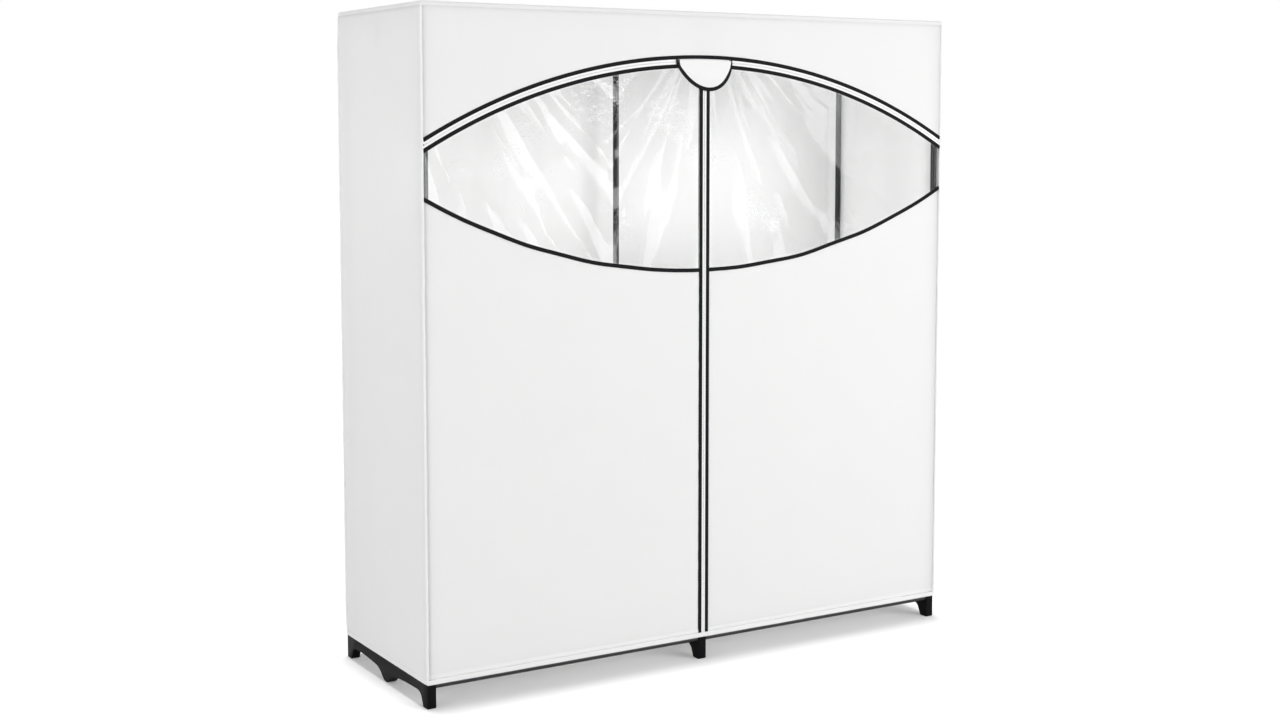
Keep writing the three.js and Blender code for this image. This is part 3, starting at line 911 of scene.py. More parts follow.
# The cover.
@dataclass(frozen=True)
class Folds:
    """The main folds of a hung panel, and the finer ones over them."""

    billow: float
    ripple: float
    count: float
    fine: float = 0.0004
    fine_count: int = 7
    fine_lengths: Pair = (0.07, 0.3)
    fine_lean: float = 0.35
    pucker: float = 0.00045
    pucker_length: float = 0.034
    pucker_reach: float = 0.016

    def out(self, u: Array, v: Array, along: Array, up: Array, seed: int) -> Array:
        """How far the cloth stands out from its wall.

        Args:
            u: Shares from 0 to 1 across the panel.
            v: Shares from 0 to 1 up the panel.
            along: Places across the panel.
            up: Heights.
            seed: The seed of the finer folds.

        Returns:
            The distances.
        """
        edge = np.sin(np.pi * u) * np.sin(np.pi * v)
        main = edge * (self.billow + self.ripple * np.sin(TURN * self.count * u + np.pi * v))
        drape = waves(along, up, seed, self.fine_count, self.fine_lengths, self.fine_lean) * self.fine
        return main + drape * np.minimum(1, 4 * edge + 0.15)

    def puckers(self, distance: Array, along_seam: Array, seed: int) -> Array:
        """The small gathers next to a seam, by the distance from it and the place along it."""
        beat = waves(along_seam, 0 * along_seam, seed, 4, (self.pucker_length, 2 * self.pucker_length), 0.0)
        return self.pucker * beat * np.exp(-distance / self.pucker_reach)


@dataclass(frozen=True)
class CoverForm:
    """The rounded box that the stretched cover makes over its frame."""

    corner: float = 0.005
    front_end: float = 0.006
    rear_end: float = 0.01
    end_reach: float = 0.045
    roll: float = 0.006
    corner_gap: float = 0.0006

    @property
    def reach_x(self) -> float:
        """How far the front and the back go round their corners, under the piping."""
        return DATUM.half_width - self.corner_gap

    @property
    def reach_y(self) -> float:
        """How far the sides go round their corners, under the piping."""
        return DATUM.half_depth - self.corner_gap

    def corner_radius(self, y: Array, z: Array) -> Array:
        """The radius of the upright corners, which grows towards the top and the hem, most at the rear.

        Args:
            y: Places from front to back.
            z: Heights.

        Returns:
            The radii.
        """
        ends = smooth_peak(DATUM.top - z, self.end_reach) + smooth_peak(z - DATUM.hem, self.end_reach)
        end = np.where(y > 0, self.rear_end, self.front_end)
        return self.corner + (end - self.corner) * np.minimum(ends, 1)

    def rounded(self, x: Array, y: Array, z: Array) -> tuple[Array, ...]:
        """Pulls points of the sharp box's plan onto its rounded corners.

        Args:
            x: Their places from left to right.
            y: Their places from front to back.
            z: Their heights.

        Returns:
            The new x and y, the x and y of the outward direction, and how far inside the outline they are.
        """
        radius = self.corner_radius(y, z)
        across = np.abs(x) - (DATUM.half_width - radius)
        deep = np.abs(y) - (DATUM.half_depth - radius)
        at_corner = (across > 0) & (deep > 0)
        reach = np.where(at_corner, np.hypot(across, deep), 1.0)
        nx = np.where(at_corner, across / reach, (across >= deep) * 1.0) * np.sign(x)
        ny = np.where(at_corner, deep / reach, (across < deep) * 1.0) * np.sign(y)
        past = np.where(at_corner, reach, np.maximum(across, deep)) - radius
        out = np.maximum(past, 0)
        return x - nx * out, y - ny * out, nx, ny, np.maximum(-past, 0)

    def wall(self, wall: Wall, along: Array, z: Array, out: Array | float = 0.0) -> Array:
        """Points on a wall.

        Args:
            wall: The wall.
            along: Their places across it: x on the front and back, y on the sides.
            z: Their heights.
            out: How far they stand out.

        Returns:
            The points.
        """
        along, z, out = np.broadcast_arrays(along, z, out)
        axis, way = wall.value
        face = np.full(along.shape, way * (DATUM.half_depth if axis else DATUM.half_width))
        x, y = (along, face) if axis else (face, along)
        x, y, nx, ny, _ = self.rounded(x, y, z)
        return np.stack([x + nx * out, y + ny * out, z], -1)

    def lid(self, x: Array, y: Array, down: Array | float = 0.0) -> Array:
        """Points on the lid's flat top, or down its skirt.

        Args:
            x: Their places from left to right.
            y: Their places from front to back.
            down: How far down the skirt they are, or 0 on the top.

        Returns:
            The points.
        """
        x, y, down = np.broadcast_arrays(x, y, down)
        x, y, nx, ny, inside = self.rounded(x, y, np.full(x.shape, DATUM.top))
        over = np.arctan2(np.maximum(self.roll - inside, 0), self.roll)
        side = np.arctan2(np.maximum(self.roll - down, 0), self.roll)
        on_top = down <= 0
        drawn_in = (inside < self.roll) * (inside - self.roll + self.roll * np.sin(over))
        shift = np.where(on_top, drawn_in, self.roll * (np.cos(side) - 1))
        low = DATUM.top - self.roll
        height = np.where(on_top, low + self.roll * np.cos(over), low + self.roll * np.sin(side))
        height = np.where(down > self.roll, DATUM.top - down, height)
        return np.stack([x + nx * shift, y + ny * shift, height], -1)


FORM = CoverForm()


@dataclass(frozen=True)
class Sheets:
    """What the cover's sheets share: cloth thickness, mesh steps, and how they dip into their seams."""

    thickness: float = 0.0009
    step: float = 0.008
    near: tuple[float, ...] = (0.0, 0.0015, 0.003, 0.005, 0.0075, 0.0105, 0.014, 0.018)
    dip: float = 0.0018
    dip_width: float = 0.007
    # Painted shade beside the seams with the piping: a thin dark groove and a wide soft shade.
    groove_shade: Pair = (0.7, 0.0045)
    soft_shade: Pair = (0.32, 0.011)
    right_width: float = 2.4
    tuck: float = 0.0016
    tuck_width: float = 0.006
    # Painted shade of the line under the lid's seam.
    tuck_shade: float = 0.5
    hem_height: float = 0.0117
    hem_proud: float = 0.0022
    hem_round: float = 0.0014
    # Painted light that lifts the hem band, and painted shade in the groove of its stitch line.
    hem_pale: float = 0.18
    hem_dark: float = 0.35
    hem_steps: tuple[float, ...] = (-0.0012, -0.0004, 0.0004)
    groove: float = 0.0005
    groove_width: float = 0.0014

    def thicken(self, piece: Object, outward: Sequence[float], thickness: float = 0.0) -> Object:
        """Closes an open sheet with a second face behind it.

        Args:
            piece: The sheet's outer face.
            outward: A direction that the outer face looks towards.
            thickness: Its thickness, or 0 for the cover's own.

        Returns:
            The closed sheet.
        """
        normals = np.zeros(3 * len(piece.data.polygons), np.float32)
        piece.data.polygons.foreach_get("normal", normals)
        if normals.reshape(-1, 3).mean(0) @ np.array(outward, np.float32) < 0:
            piece.data.flip_normals()
        wall = piece.modifiers.new("wall", "SOLIDIFY")
        wall.thickness = thickness or self.thickness
        wall.offset = -1
        return smooth(settle(piece), Crease.CLOTH)

    def hem(self, height: Array) -> Array:
        """How far a hemmed edge stands out.

        Args:
            height: Heights over its lower edge.

        Returns:
            The distances.
        """
        band = self.hem_proud * np.clip(1 - height / self.hem_height, 0, 1)
        rounding = -self.hem_proud * smooth_peak(height, self.hem_round)
        return band + rounding - self.groove * smooth_peak(height - self.hem_height, self.groove_width)

    def hem_shade(self, height: Array) -> Array:
        """The painted light that lifts a hem band, and the painted shade in the groove of its stitch line."""
        pale = self.hem_pale * (1 - np.tanh((height - self.hem_height) / self.groove_width)) / 2
        return self.hem_dark * smooth_peak(height - self.hem_height, self.groove_width) - pale

    def seam_shade(self, distance: Array, width_share: float = 1.0) -> Array:
        """The painted shade beside the cloth's seam with the piping: a thin dark groove in a wide soft shade.

        Args:
            distance: Distances from the seam.
            width_share: The soft shade's width as a share of its usual one.

        Returns:
            The shades.
        """
        groove, groove_width = self.groove_shade
        soft, soft_width = self.soft_shade
        wide = soft * smooth_peak(distance, soft_width * width_share)
        return groove * smooth_peak(distance, groove_width) + wide

    def seam_dip(self, distance: Array, width_share: float = 1.0) -> Array:
        """How far the cloth dips towards its seam with the piping."""
        return -self.dip * smooth_peak(distance, self.dip_width * width_share)


SHEETS = Sheets()


@dataclass
class Cover:
    """The cover's fixed cloth: sides, back, lid, header, front hem and the piping at the corners."""

    side_folds: Folds = Folds(0.0026, 0.0012, 2)
    back_folds: Folds = Folds(0.003, 0.0014, 4)
    header_folds: Folds = Folds(0.0, 0.001, 5)
    # The share of painted seam shade on the fixed walls.
    wall_shade: float = 0.05
    top_sag: float = 0.006
    top_ripple: float = 0.0005
    top_ripples: Pair = (0.06, 0.25)
    top_press: float = 0.0006
    skirt_steps: tuple[float, ...] = (0.0, 0.002, 0.004, 0.0058, 0.0078)
    merge: float = 0.00005
    header_rows: int = 26
    header_press: float = 0.0004
    hem_half: float = 0.0013
    hem_corner: float = 0.0011
    hem_wobble: float = 0.0004
    hem_wobbles: Pair = (0.05, 0.4)
    piping_radius: float = 0.003
    piping_inset: float = 0.0012
    piping_reach: float = 0.003
    piping_taper: float = 0.002
    piping_wobble: float = 0.0003
    piping_wobbles: Pair = (0.05, 0.3)
    piping_pucker: float = 0.05
    piping_puckers: Pair = (0.01, 0.04)
    piping_sides: int = 14
    piping_rings: int = 180
    body: str = "frame"

    def hung(self, name: str, wall: Wall, folds: Folds, seed: int) -> None:
        """Args:
            name: The piece's name, which is its node's.
            wall: The wall.
            folds: Its folds.
            seed: The seed of its finer folds.
        """
        half, reach = (DATUM.seam_x, FORM.reach_x) if wall is Wall.BACK else (DATUM.seam_y, FORM.reach_y)
        along = spread(-reach, reach, SHEETS.step, SHEETS.near)
        up = spread(DATUM.hem, DATUM.seam_top + SHEETS.tuck, SHEETS.step, SHEETS.near)
        up = np.sort(np.concatenate([up, DATUM.hem + SHEETS.hem_height + np.array(SHEETS.hem_steps)]))
        a, z = np.meshgrid(along, up)
        u, v = np.clip((a + half) / (2 * half), 0, 1), (z - DATUM.hem) / (up[-1] - DATUM.hem)
        from_seam, from_top, from_hem = np.maximum(half - np.abs(a), 0), up[-1] - z, z - DATUM.hem
        at_top = smooth_peak(from_top, SHEETS.tuck_width)
        out = folds.out(u, v, a, z, seed)
        out += SHEETS.seam_dip(from_seam) + SHEETS.hem(from_hem) - SHEETS.tuck * at_top
        out += folds.puckers(from_seam, z + np.sign(a), seed + 1) + folds.puckers(from_top, a, seed + 2)
        # Painted shade beside the corner seams and under the lid, with the hem's painted light and
        # stitch-groove shade.
        shade = self.wall_shade * SHEETS.seam_shade(from_seam) + SHEETS.tuck_shade * at_top
        shade += SHEETS.hem_shade(from_hem)
        draft = Draft()
        draft.grid(FORM.wall(wall, a, z, out), np.stack([a, z], -1), shade=shade)
        piece = draft.build(name, closed=False)
        axis, way = wall.value
        SHEETS.thicken(piece, (way * (1 - axis), way * axis, 0))
        dress(piece, WHITE_CLOTH, self.body, name)

    def lid(self) -> None:
        xs = spread(-DATUM.half_width, DATUM.half_width, SHEETS.step, SHEETS.near)
        ys = spread(-DATUM.half_depth, DATUM.half_depth, SHEETS.step, SHEETS.near)
        downs = np.array([*self.skirt_steps, DATUM.top_seam_drop])
        draft = Draft()
        x, y = np.meshgrid(xs, ys)
        flat = FORM.lid(x, y)
        bay = np.sin(np.pi * x / DATUM.half_width)
        v = (y + DATUM.half_depth) / (2 * DATUM.half_depth)
        edge = np.sin(np.pi * v) * np.minimum(1, 6 * (1 - np.abs(x) / DATUM.half_width))
        flat[..., 2] -= self.top_sag * bay**2 * np.sin(np.pi * v)
        ripple = self.top_ripple * waves(x, y, 41, 8, self.top_ripples, 1.2)
        flat[..., 2] += ripple * edge - self.top_press * edge
        draft.grid(flat, np.stack([x, y], -1))
        for way in (-1, 1):
            a, d = np.meshgrid(xs, downs)
            skirt = FORM.lid(a, way * DATUM.half_depth, d)
            draft.grid(skirt, np.stack([a, way * (DATUM.half_depth + d)], -1))
            a, d = np.meshgrid(ys, downs)
            skirt = FORM.lid(way * DATUM.half_width, a, d)
            draft.grid(skirt, np.stack([way * (DATUM.half_width + d), a], -1))
        piece = draft.build("cover_top", closed=False)
        turn_outwards(piece.data, self.merge)
        SHEETS.thicken(piece, (0, 0, 1))
        dress(piece, WHITE_CLOTH, self.body, "cover_top")
        skirt = 2 * DATUM.top_seam_drop

    def header(self) -> None:
        radius = DATUM.arch_radius + DATUM.binding_spacing / 2
        along = spread(-FORM.reach_x, FORM.reach_x, SHEETS.step, SHEETS.near)
        shares = np.linspace(0, 1, self.header_rows) ** 0.85
        a, v = np.meshgrid(along, shares)
        bottom = DATUM.over_arc(radius, a)
        top = DATUM.seam_top + SHEETS.tuck
        z = bottom + (top - bottom) * v
        u = np.clip((a + DATUM.seam_x) / (2 * DATUM.seam_x), 0, 1)
        from_seam, from_top = np.maximum(DATUM.seam_x - np.abs(a), 0), top - z
        width = np.where(a > 0, SHEETS.right_width, 1.0)
        out = self.header_folds.out(u, v, a, z, 51) + SHEETS.seam_dip(from_seam, width)
        at_top = smooth_peak(from_top, SHEETS.tuck_width)
        out -= SHEETS.tuck * at_top
        out += self.header_folds.puckers(from_seam, z, 52) + self.header_folds.puckers(from_top, a, 53)
        out -= self.header_press * smooth_peak(z - bottom, SHEETS.tuck_width)
        # Painted shade beside the corner seams and under the lid's seam.
        shade = SHEETS.seam_shade(from_seam, width) + SHEETS.tuck_shade * at_top
        draft = Draft()
        draft.grid(FORM.wall(Wall.FRONT, a, z, out), np.stack([a, z], -1), shade=shade)
        piece = SHEETS.thicken(draft.build("cover_header", closed=False), (0, -1, 0))
        dress(piece, WHITE_CLOTH, self.body, "cover_header")
        height = top - float(DATUM.over_arc(radius, FORM.reach_x))
        area = area_under(top - DATUM.over_arc(radius, along), along)

    def hem(self) -> None:
        """Makes the folded band that runs under both doors."""
        along = spread(-FORM.reach_x, FORM.reach_x, SHEETS.step, SHEETS.near)
        height, half, corner = SHEETS.hem_height, self.hem_half, self.hem_corner
        section = []
        for start, (y, z) in enumerate([(1, 1), (-1, 1), (-1, 0), (1, 0)]):
            for turn in np.linspace(0, math.pi / 2, 4):
                angle = start * math.pi / 2 + turn
                centre = (y * (half - corner), height - corner if z else corner)
                section.append((centre[0] + corner * math.cos(angle), centre[1] + corner * math.sin(angle)))
        section = np.array(section)
        wobble = self.hem_wobble * waves(along, 0 * along, 61, 5, self.hem_wobbles, 0.0)
        base = FORM.wall(Wall.FRONT, along, DATUM.hem)
        offset = DATUM.half_depth + DATUM.front_middle
        points = np.repeat(base[:, None, :], len(section), 1)
        points[..., 1] += offset + section[None, :, 0] + wobble[:, None]
        points[..., 2] += section[None, :, 1]
        draft = Draft()
        draft.tube(points, along, np.concatenate([section[:, 1], section[:1, 1]]))
        draft.piece("front_hem", PIPING_CLOTH, self.body, Crease.CORD)

    def piping(self) -> None:
        """Makes the four round cords of folded cloth at the corners."""
        up = np.linspace(DATUM.hem, DATUM.seam_top + self.piping_reach, self.piping_rings)
        for end, way in (("front", -1), ("rear", 1)):
            for side in Side:
                x, y, nx, ny, _ = FORM.rounded(
                    np.full(up.shape, side.value * (DATUM.half_width - TINY)),
                    np.full(up.shape, way * (DATUM.half_depth - TINY)),
                    up,
                )
                seed = 70 + way + side.value
                wobble = self.piping_wobble * waves(up, 0 * up, seed, 5, self.piping_wobbles, 0.0)
                from_end = np.minimum(up - up[0], up[-1] - up)
                ends = np.minimum(1, np.sqrt(from_end / self.piping_taper) * 0.5 + 0.5)
                pucker = 1 + self.piping_pucker * waves(up, 0 * up, 75, 4, self.piping_puckers, 0.0)
                radius = self.piping_radius * pucker * ends
                angle = np.linspace(0, TURN, self.piping_sides, endpoint=False)[None, :]
                points = np.stack(
                    [
                        (x - nx * self.piping_inset / 2 + wobble)[:, None] + radius[:, None] * np.cos(angle),
                        (y - ny * self.piping_inset / 2)[:, None] + radius[:, None] * np.sin(angle),
                        np.repeat(up[:, None], self.piping_sides, 1),
                    ],
                    -1,
                )
                draft = Draft()
                draft.tube(points, up, np.linspace(0, TURN * self.piping_radius, self.piping_sides + 1))
                draft.piece(f"piping_{end}_{side.word}", PIPING_CLOTH, self.body, Crease.CORD)

    def build(self) -> None:
        """Makes every fixed cloth piece."""
        self.hung("cover_side_left", Wall.LEFT, self.side_folds, 11)
        self.hung("cover_side_right", Wall.RIGHT, self.side_folds, 21)
        self.hung("cover_back", Wall.BACK, self.back_folds, 31)
        self.lid()
        self.header()
        self.hem()
        self.piping()


# Bindings and tapes.
@dataclass(frozen=True)
class Section:
    """A ribbon's cross-section, as shares of its width and thickness from its middle line outwards."""

    width: float
    thickness: float
    width_shares: tuple[float, ...] = (-1, -0.985, -0.92, -0.5, -0.16, 0, 0.16, 0.5, 0.92, 0.985, 1)
    height_shares: tuple[float, ...] = (0, 0.7, 0.97, 1, 0.86, 0.74, 0.86, 1, 0.97, 0.7, 0)

    def points(self) -> Array:
        """The closed section's points.

        Returns:
            The points, as places across and out.
        """
        across = np.array(self.width_shares) * self.width / 2
        out = np.array(self.height_shares) * self.thickness / 2
        return np.concatenate([np.stack([across, out], -1), np.stack([across[::-1], -out[::-1]], -1)[1:-1]])


BINDING = Section(DATUM.binding_width * 1.2, 0.0024)
FLAT_SHARES = ((-1, -0.98, -0.5, 0, 0.5, 0.98, 1), (0, 1, 1, 1, 1, 1, 0))


def arc_path(radius: float, over: bool, start: float, end: float, step: float = 0.008) -> Array:
    """Points of an arc over the window, or under it, as x and z."""
    x = np.linspace(start, end, max(2, round(abs(end - start) / step) + 1))
    return np.stack([x, (DATUM.over_arc if over else DATUM.under_arc)(radius, x)], -1)


def ribbon(
    node: str, body: str, finish: Finish, path: Array, section: Section, out: float = 0.0
) -> None:
    """Makes a ribbon that follows a path in the front's plane, with mitred corners.

    Args:
        node: The node that it stands for.
        body: The CAD body that it rides on.
        finish: Its finish.
        path: The path's points, as x and z.
        section: Its cross-section.
        out: How far its middle stands in front of the cloth's middle.
    """
    steps = np.diff(path, axis=0)
    lengths = np.linalg.norm(steps, axis=1)
    normals = np.stack([-steps[:, 1], steps[:, 0]], -1) / lengths[:, None]
    before, after = np.vstack([normals[:1], normals]), np.vstack([normals, normals[-1:]])
    middle = before + after
    middle /= np.linalg.norm(middle, axis=1)[:, None]
    middle /= (middle * before).sum(1)[:, None]
    shape = section.points()
    run = np.concatenate([[0], np.cumsum(lengths)])
    spots = path[:, None, :] + middle[:, None, :] * shape[None, :, :1]
    front = DATUM.front_middle - np.full(run.shape, out)[:, None] - shape[None, :, 1]
    points = np.stack([spots[..., 0], front, spots[..., 1]], -1)
    draft = Draft()
    draft.tube(points, run, np.concatenate([shape[:, 0], shape[:1, 0]]))
    draft.piece(node, finish, body, Crease.CLOTH)


@dataclass
class Zips:
    """Sizes that the tapes of both zips share."""

    tape_thickness: float = 0.0008
    coil_slot: float = 0.0008
    under_binding: float = 0.0035
    tab_reach: float = 0.043
    slider_drop: float = 0.02225
    tab_length: float = 0.026
    tab_clear: float = 0.003
    slider_length: float = 0.014

    def strip(self, low: float, high: float) -> Section:
        """A flat tape's section, for a tape between two distances from the coil's middle."""
        return Section(high - low, self.tape_thickness, *FLAT_SHARES)

    @property
    def arch_reach(self) -> float:
        """How far the arch zip's tapes reach from the coil, under the bindings."""
        return DATUM.binding_spacing / 2 - DATUM.binding_width / 2 + self.under_binding

    def centre_top(self, side: Side) -> float:
        """The height at which a door's centre tape ends, under the flap.

        Args:
            side: The door's side.

        Returns:
            The height.
        """
        slider = DATUM.arch_top - self.slider_drop
        if side is Side.LEFT:
            return slider + self.slider_length / 2
        return slider - self.tab_length - self.tab_clear


ZIPS = Zips()


@dataclass
class ArchZip:
    """The half of the arch zip that stays on the header."""

    body: str = "frame"

    def build(self) -> None:
        """Makes the outer binding and its tape."""
        ribbon("arch_binding", self.body, BLACK_BINDING, self.binding_path(), BINDING)
        low, high = ZIPS.coil_slot, ZIPS.arch_reach
        path = arc_path(DATUM.arch_radius + (low + high) / 2, True, -DATUM.seam_x, DATUM.seam_x)
        ribbon("arch_tape", self.body, ZIP_TAPE, path, ZIPS.strip(low, high))

    def binding_path(self) -> Array:
        """The middle line of the outer binding."""
        radius = DATUM.arch_radius + DATUM.binding_spacing / 2
        return arc_path(radius, True, -DATUM.seam_x, DATUM.seam_x)


@dataclass
class Door:
    """One front door: cloth, clear film, bindings, and its halves of the two zips."""

    side: Side
    folds: Folds = Folds(0.003, 0.0014, 3)
    film_folds: Folds = Folds(0.002, 0.0, 0, fine=0.0006)
    film_thickness: float = 0.0003
    edge_dip: float = 0.0005
    edge_dip_width: float = 0.007
    margin: float = 0.0022
    wander: float = 0.0011
    wander_lengths: Pair = (0.16, 0.4)
    wander_seed: int = 97

    @property
    def body(self) -> str:
        """The CAD body that the door rides on."""
        return f"{self.side.word}_door"

    @property
    def edge_middle(self) -> float:
        """How far the middle of the centre binding is from the wardrobe's middle."""
        return DATUM.panel_inner - DATUM.binding_width / 2 - DATUM.gap

    def named(self, stem: str) -> str:
        """A node's name for this door."""
        return f"{stem}_{self.side.word}"

    def columns_across(self) -> Array:
        """Places from the door's inner edge to its seam, as distances from the wardrobe's middle."""
        return spread(self.edge_middle, FORM.reach_x, SHEETS.step, SHEETS.near)

    def base_line(self, x: Array) -> Array:
        """The height of the door's lower edge."""
        return np.full(np.shape(x), DATUM.door_bottom)

    def window_line(self, x: Array) -> Array:
        """The height of the seam under the window, which wanders a little where it was sewn by hand.

        Args:
            x: Places from left to right.

        Returns:
            The heights.
        """
        x = np.abs(np.asarray(x, float))
        share = np.clip((x - self.edge_middle) / (DATUM.seam_x - self.edge_middle), 0, 1)
        sway = waves(x, 0 * x, self.wander_seed + self.side.value, 3, self.wander_lengths, 0.0)
        return DATUM.under_arc(DATUM.window_radius, x) + self.wander * sway * np.sin(np.pi * share) ** 0.7

    def arch_line(self, x: Array) -> Array:
        """The height of the film's upper edge, under the binding along the arch."""
        return DATUM.over_arc(DATUM.arch_radius - DATUM.binding_spacing / 2, x)

    def fabric(self, stem: str, low: Callable, high: Callable, finish: Finish, seed: int) -> None:
        """Args:
            stem: The start of the node's name.
            low: Its lower edge, as a height for each x.
            high: Its upper edge.
            finish: Its finish.
            seed: The seed of its finer folds.
        """
        film = finish is CLEAR_FILM
        folds = self.film_folds if film else self.folds
        reach = self.columns_across()
        tall = float(np.max(high(reach) - low(reach)))
        shares = spread(0.0, 1.0, SHEETS.step / tall, tuple(near / tall for near in SHEETS.near))
        a, v = np.meshgrid(reach, shares)
        bottom, top = low(a), high(a)
        z = bottom + (top - bottom) * v
        x = a * self.side.value
        u = np.minimum((a - self.edge_middle) / (DATUM.seam_x - self.edge_middle), 1)
        u = u if self.side is Side.RIGHT else 1 - u
        from_seam, from_inner = np.maximum(DATUM.seam_x - a, 0), a - self.edge_middle
        from_low, from_high = z - bottom, top - z
        edge = np.minimum(from_inner, from_high)
        width = SHEETS.right_width if self.side is Side.RIGHT else 1.0
        out = folds.out(u, v, x, z, seed)
        if film:
            edge = np.minimum(edge, from_low)
            # On the film the seam attribute marks extra opacity near its edges.
            shade = smooth_peak(np.maximum(edge - DATUM.binding_width / 2, 0), self.margin)
        else:
            out += SHEETS.hem(from_low) - SHEETS.hem_proud * 0.5
            along = np.where(from_high < from_inner, x, z)
            out += folds.puckers(from_seam, z, seed + 1) + folds.puckers(edge, along, seed + 2)
            # Painted shade beside the corner seam, with the hem's painted light and stitch-groove shade.
            shade = SHEETS.seam_shade(from_seam, width) + SHEETS.hem_shade(from_low)
        out += SHEETS.seam_dip(from_seam, width) - self.edge_dip * smooth_peak(edge, self.edge_dip_width)
        draft = Draft()
        draft.grid(FORM.wall(Wall.FRONT, x, z, out), np.stack([x, z], -1), shade=shade)
        name = self.named(stem)
        thickness = self.film_thickness if film else 0.0
        piece = SHEETS.thicken(draft.build(name, closed=False), (0, -1, 0), thickness)
        dress(piece, finish, self.body, name)
        area = area_under(high(reach) - low(reach), reach)
        flat = (FORM.reach_x - self.edge_middle, float(np.max(high(reach)) - np.min(low(reach))))

    def edge_path(self) -> Array:
        """The middle line of the door's edging: in along the arch, then down the centre.

        Returns:
            Its points, as x and z.
        """
        side = self.side.value
        radius = DATUM.arch_radius - DATUM.binding_spacing / 2
        arch = arc_path(radius, True, side * DATUM.seam_x, side * self.edge_middle)
        down = np.linspace(arch[-1, 1], DATUM.door_bottom, 180)[1:]
        return np.concatenate([arch, np.stack([np.full(down.shape, side * self.edge_middle), down], -1)])

    def window_path(self) -> Array:
        """The middle line of the binding under the window."""
        x = self.side.value * arc_path(DATUM.window_radius, False, DATUM.seam_x, self.edge_middle)[:, 0]
        return np.stack([x, self.window_line(x)], -1)

    def strip(self, stem: str, path: Array, section: Section, finish: Finish) -> None:
        """Makes one binding or tape."""
        ribbon(self.named(stem), self.body, finish, path, section)

    def build(self) -> None:
        """Makes every piece of the door."""
        side = self.side.value
        self.strip("window_binding", self.window_path(), BINDING, BLACK_BINDING)
        self.strip("door_edge", self.edge_path(), BINDING, BLACK_BINDING)
        low, high = ZIPS.coil_slot, ZIPS.arch_reach
        ends = (side * DATUM.seam_x, side * ZIPS.tab_reach)
        arch = arc_path(DATUM.arch_radius - (low + high) / 2, True, *ends)
        self.strip("arch_tape", arch, ZIPS.strip(low, high), ZIP_TAPE)
        far = self.edge_middle + ZIPS.under_binding - DATUM.binding_width / 2
        heights = np.linspace(DATUM.door_bottom, ZIPS.centre_top(self.side), 120)
        centre = np.stack([np.full(heights.shape, side * (low + far) / 2), heights], -1)
        self.strip("centre_tape", centre, ZIPS.strip(low, far), ZIP_TAPE)
        seed = 81 if self.side is Side.LEFT else 91
        self.fabric("door_panel", self.base_line, self.window_line, WHITE_CLOTH, seed)
        self.fabric("window_film", self.window_line, self.arch_line, CLEAR_FILM, seed + 5)


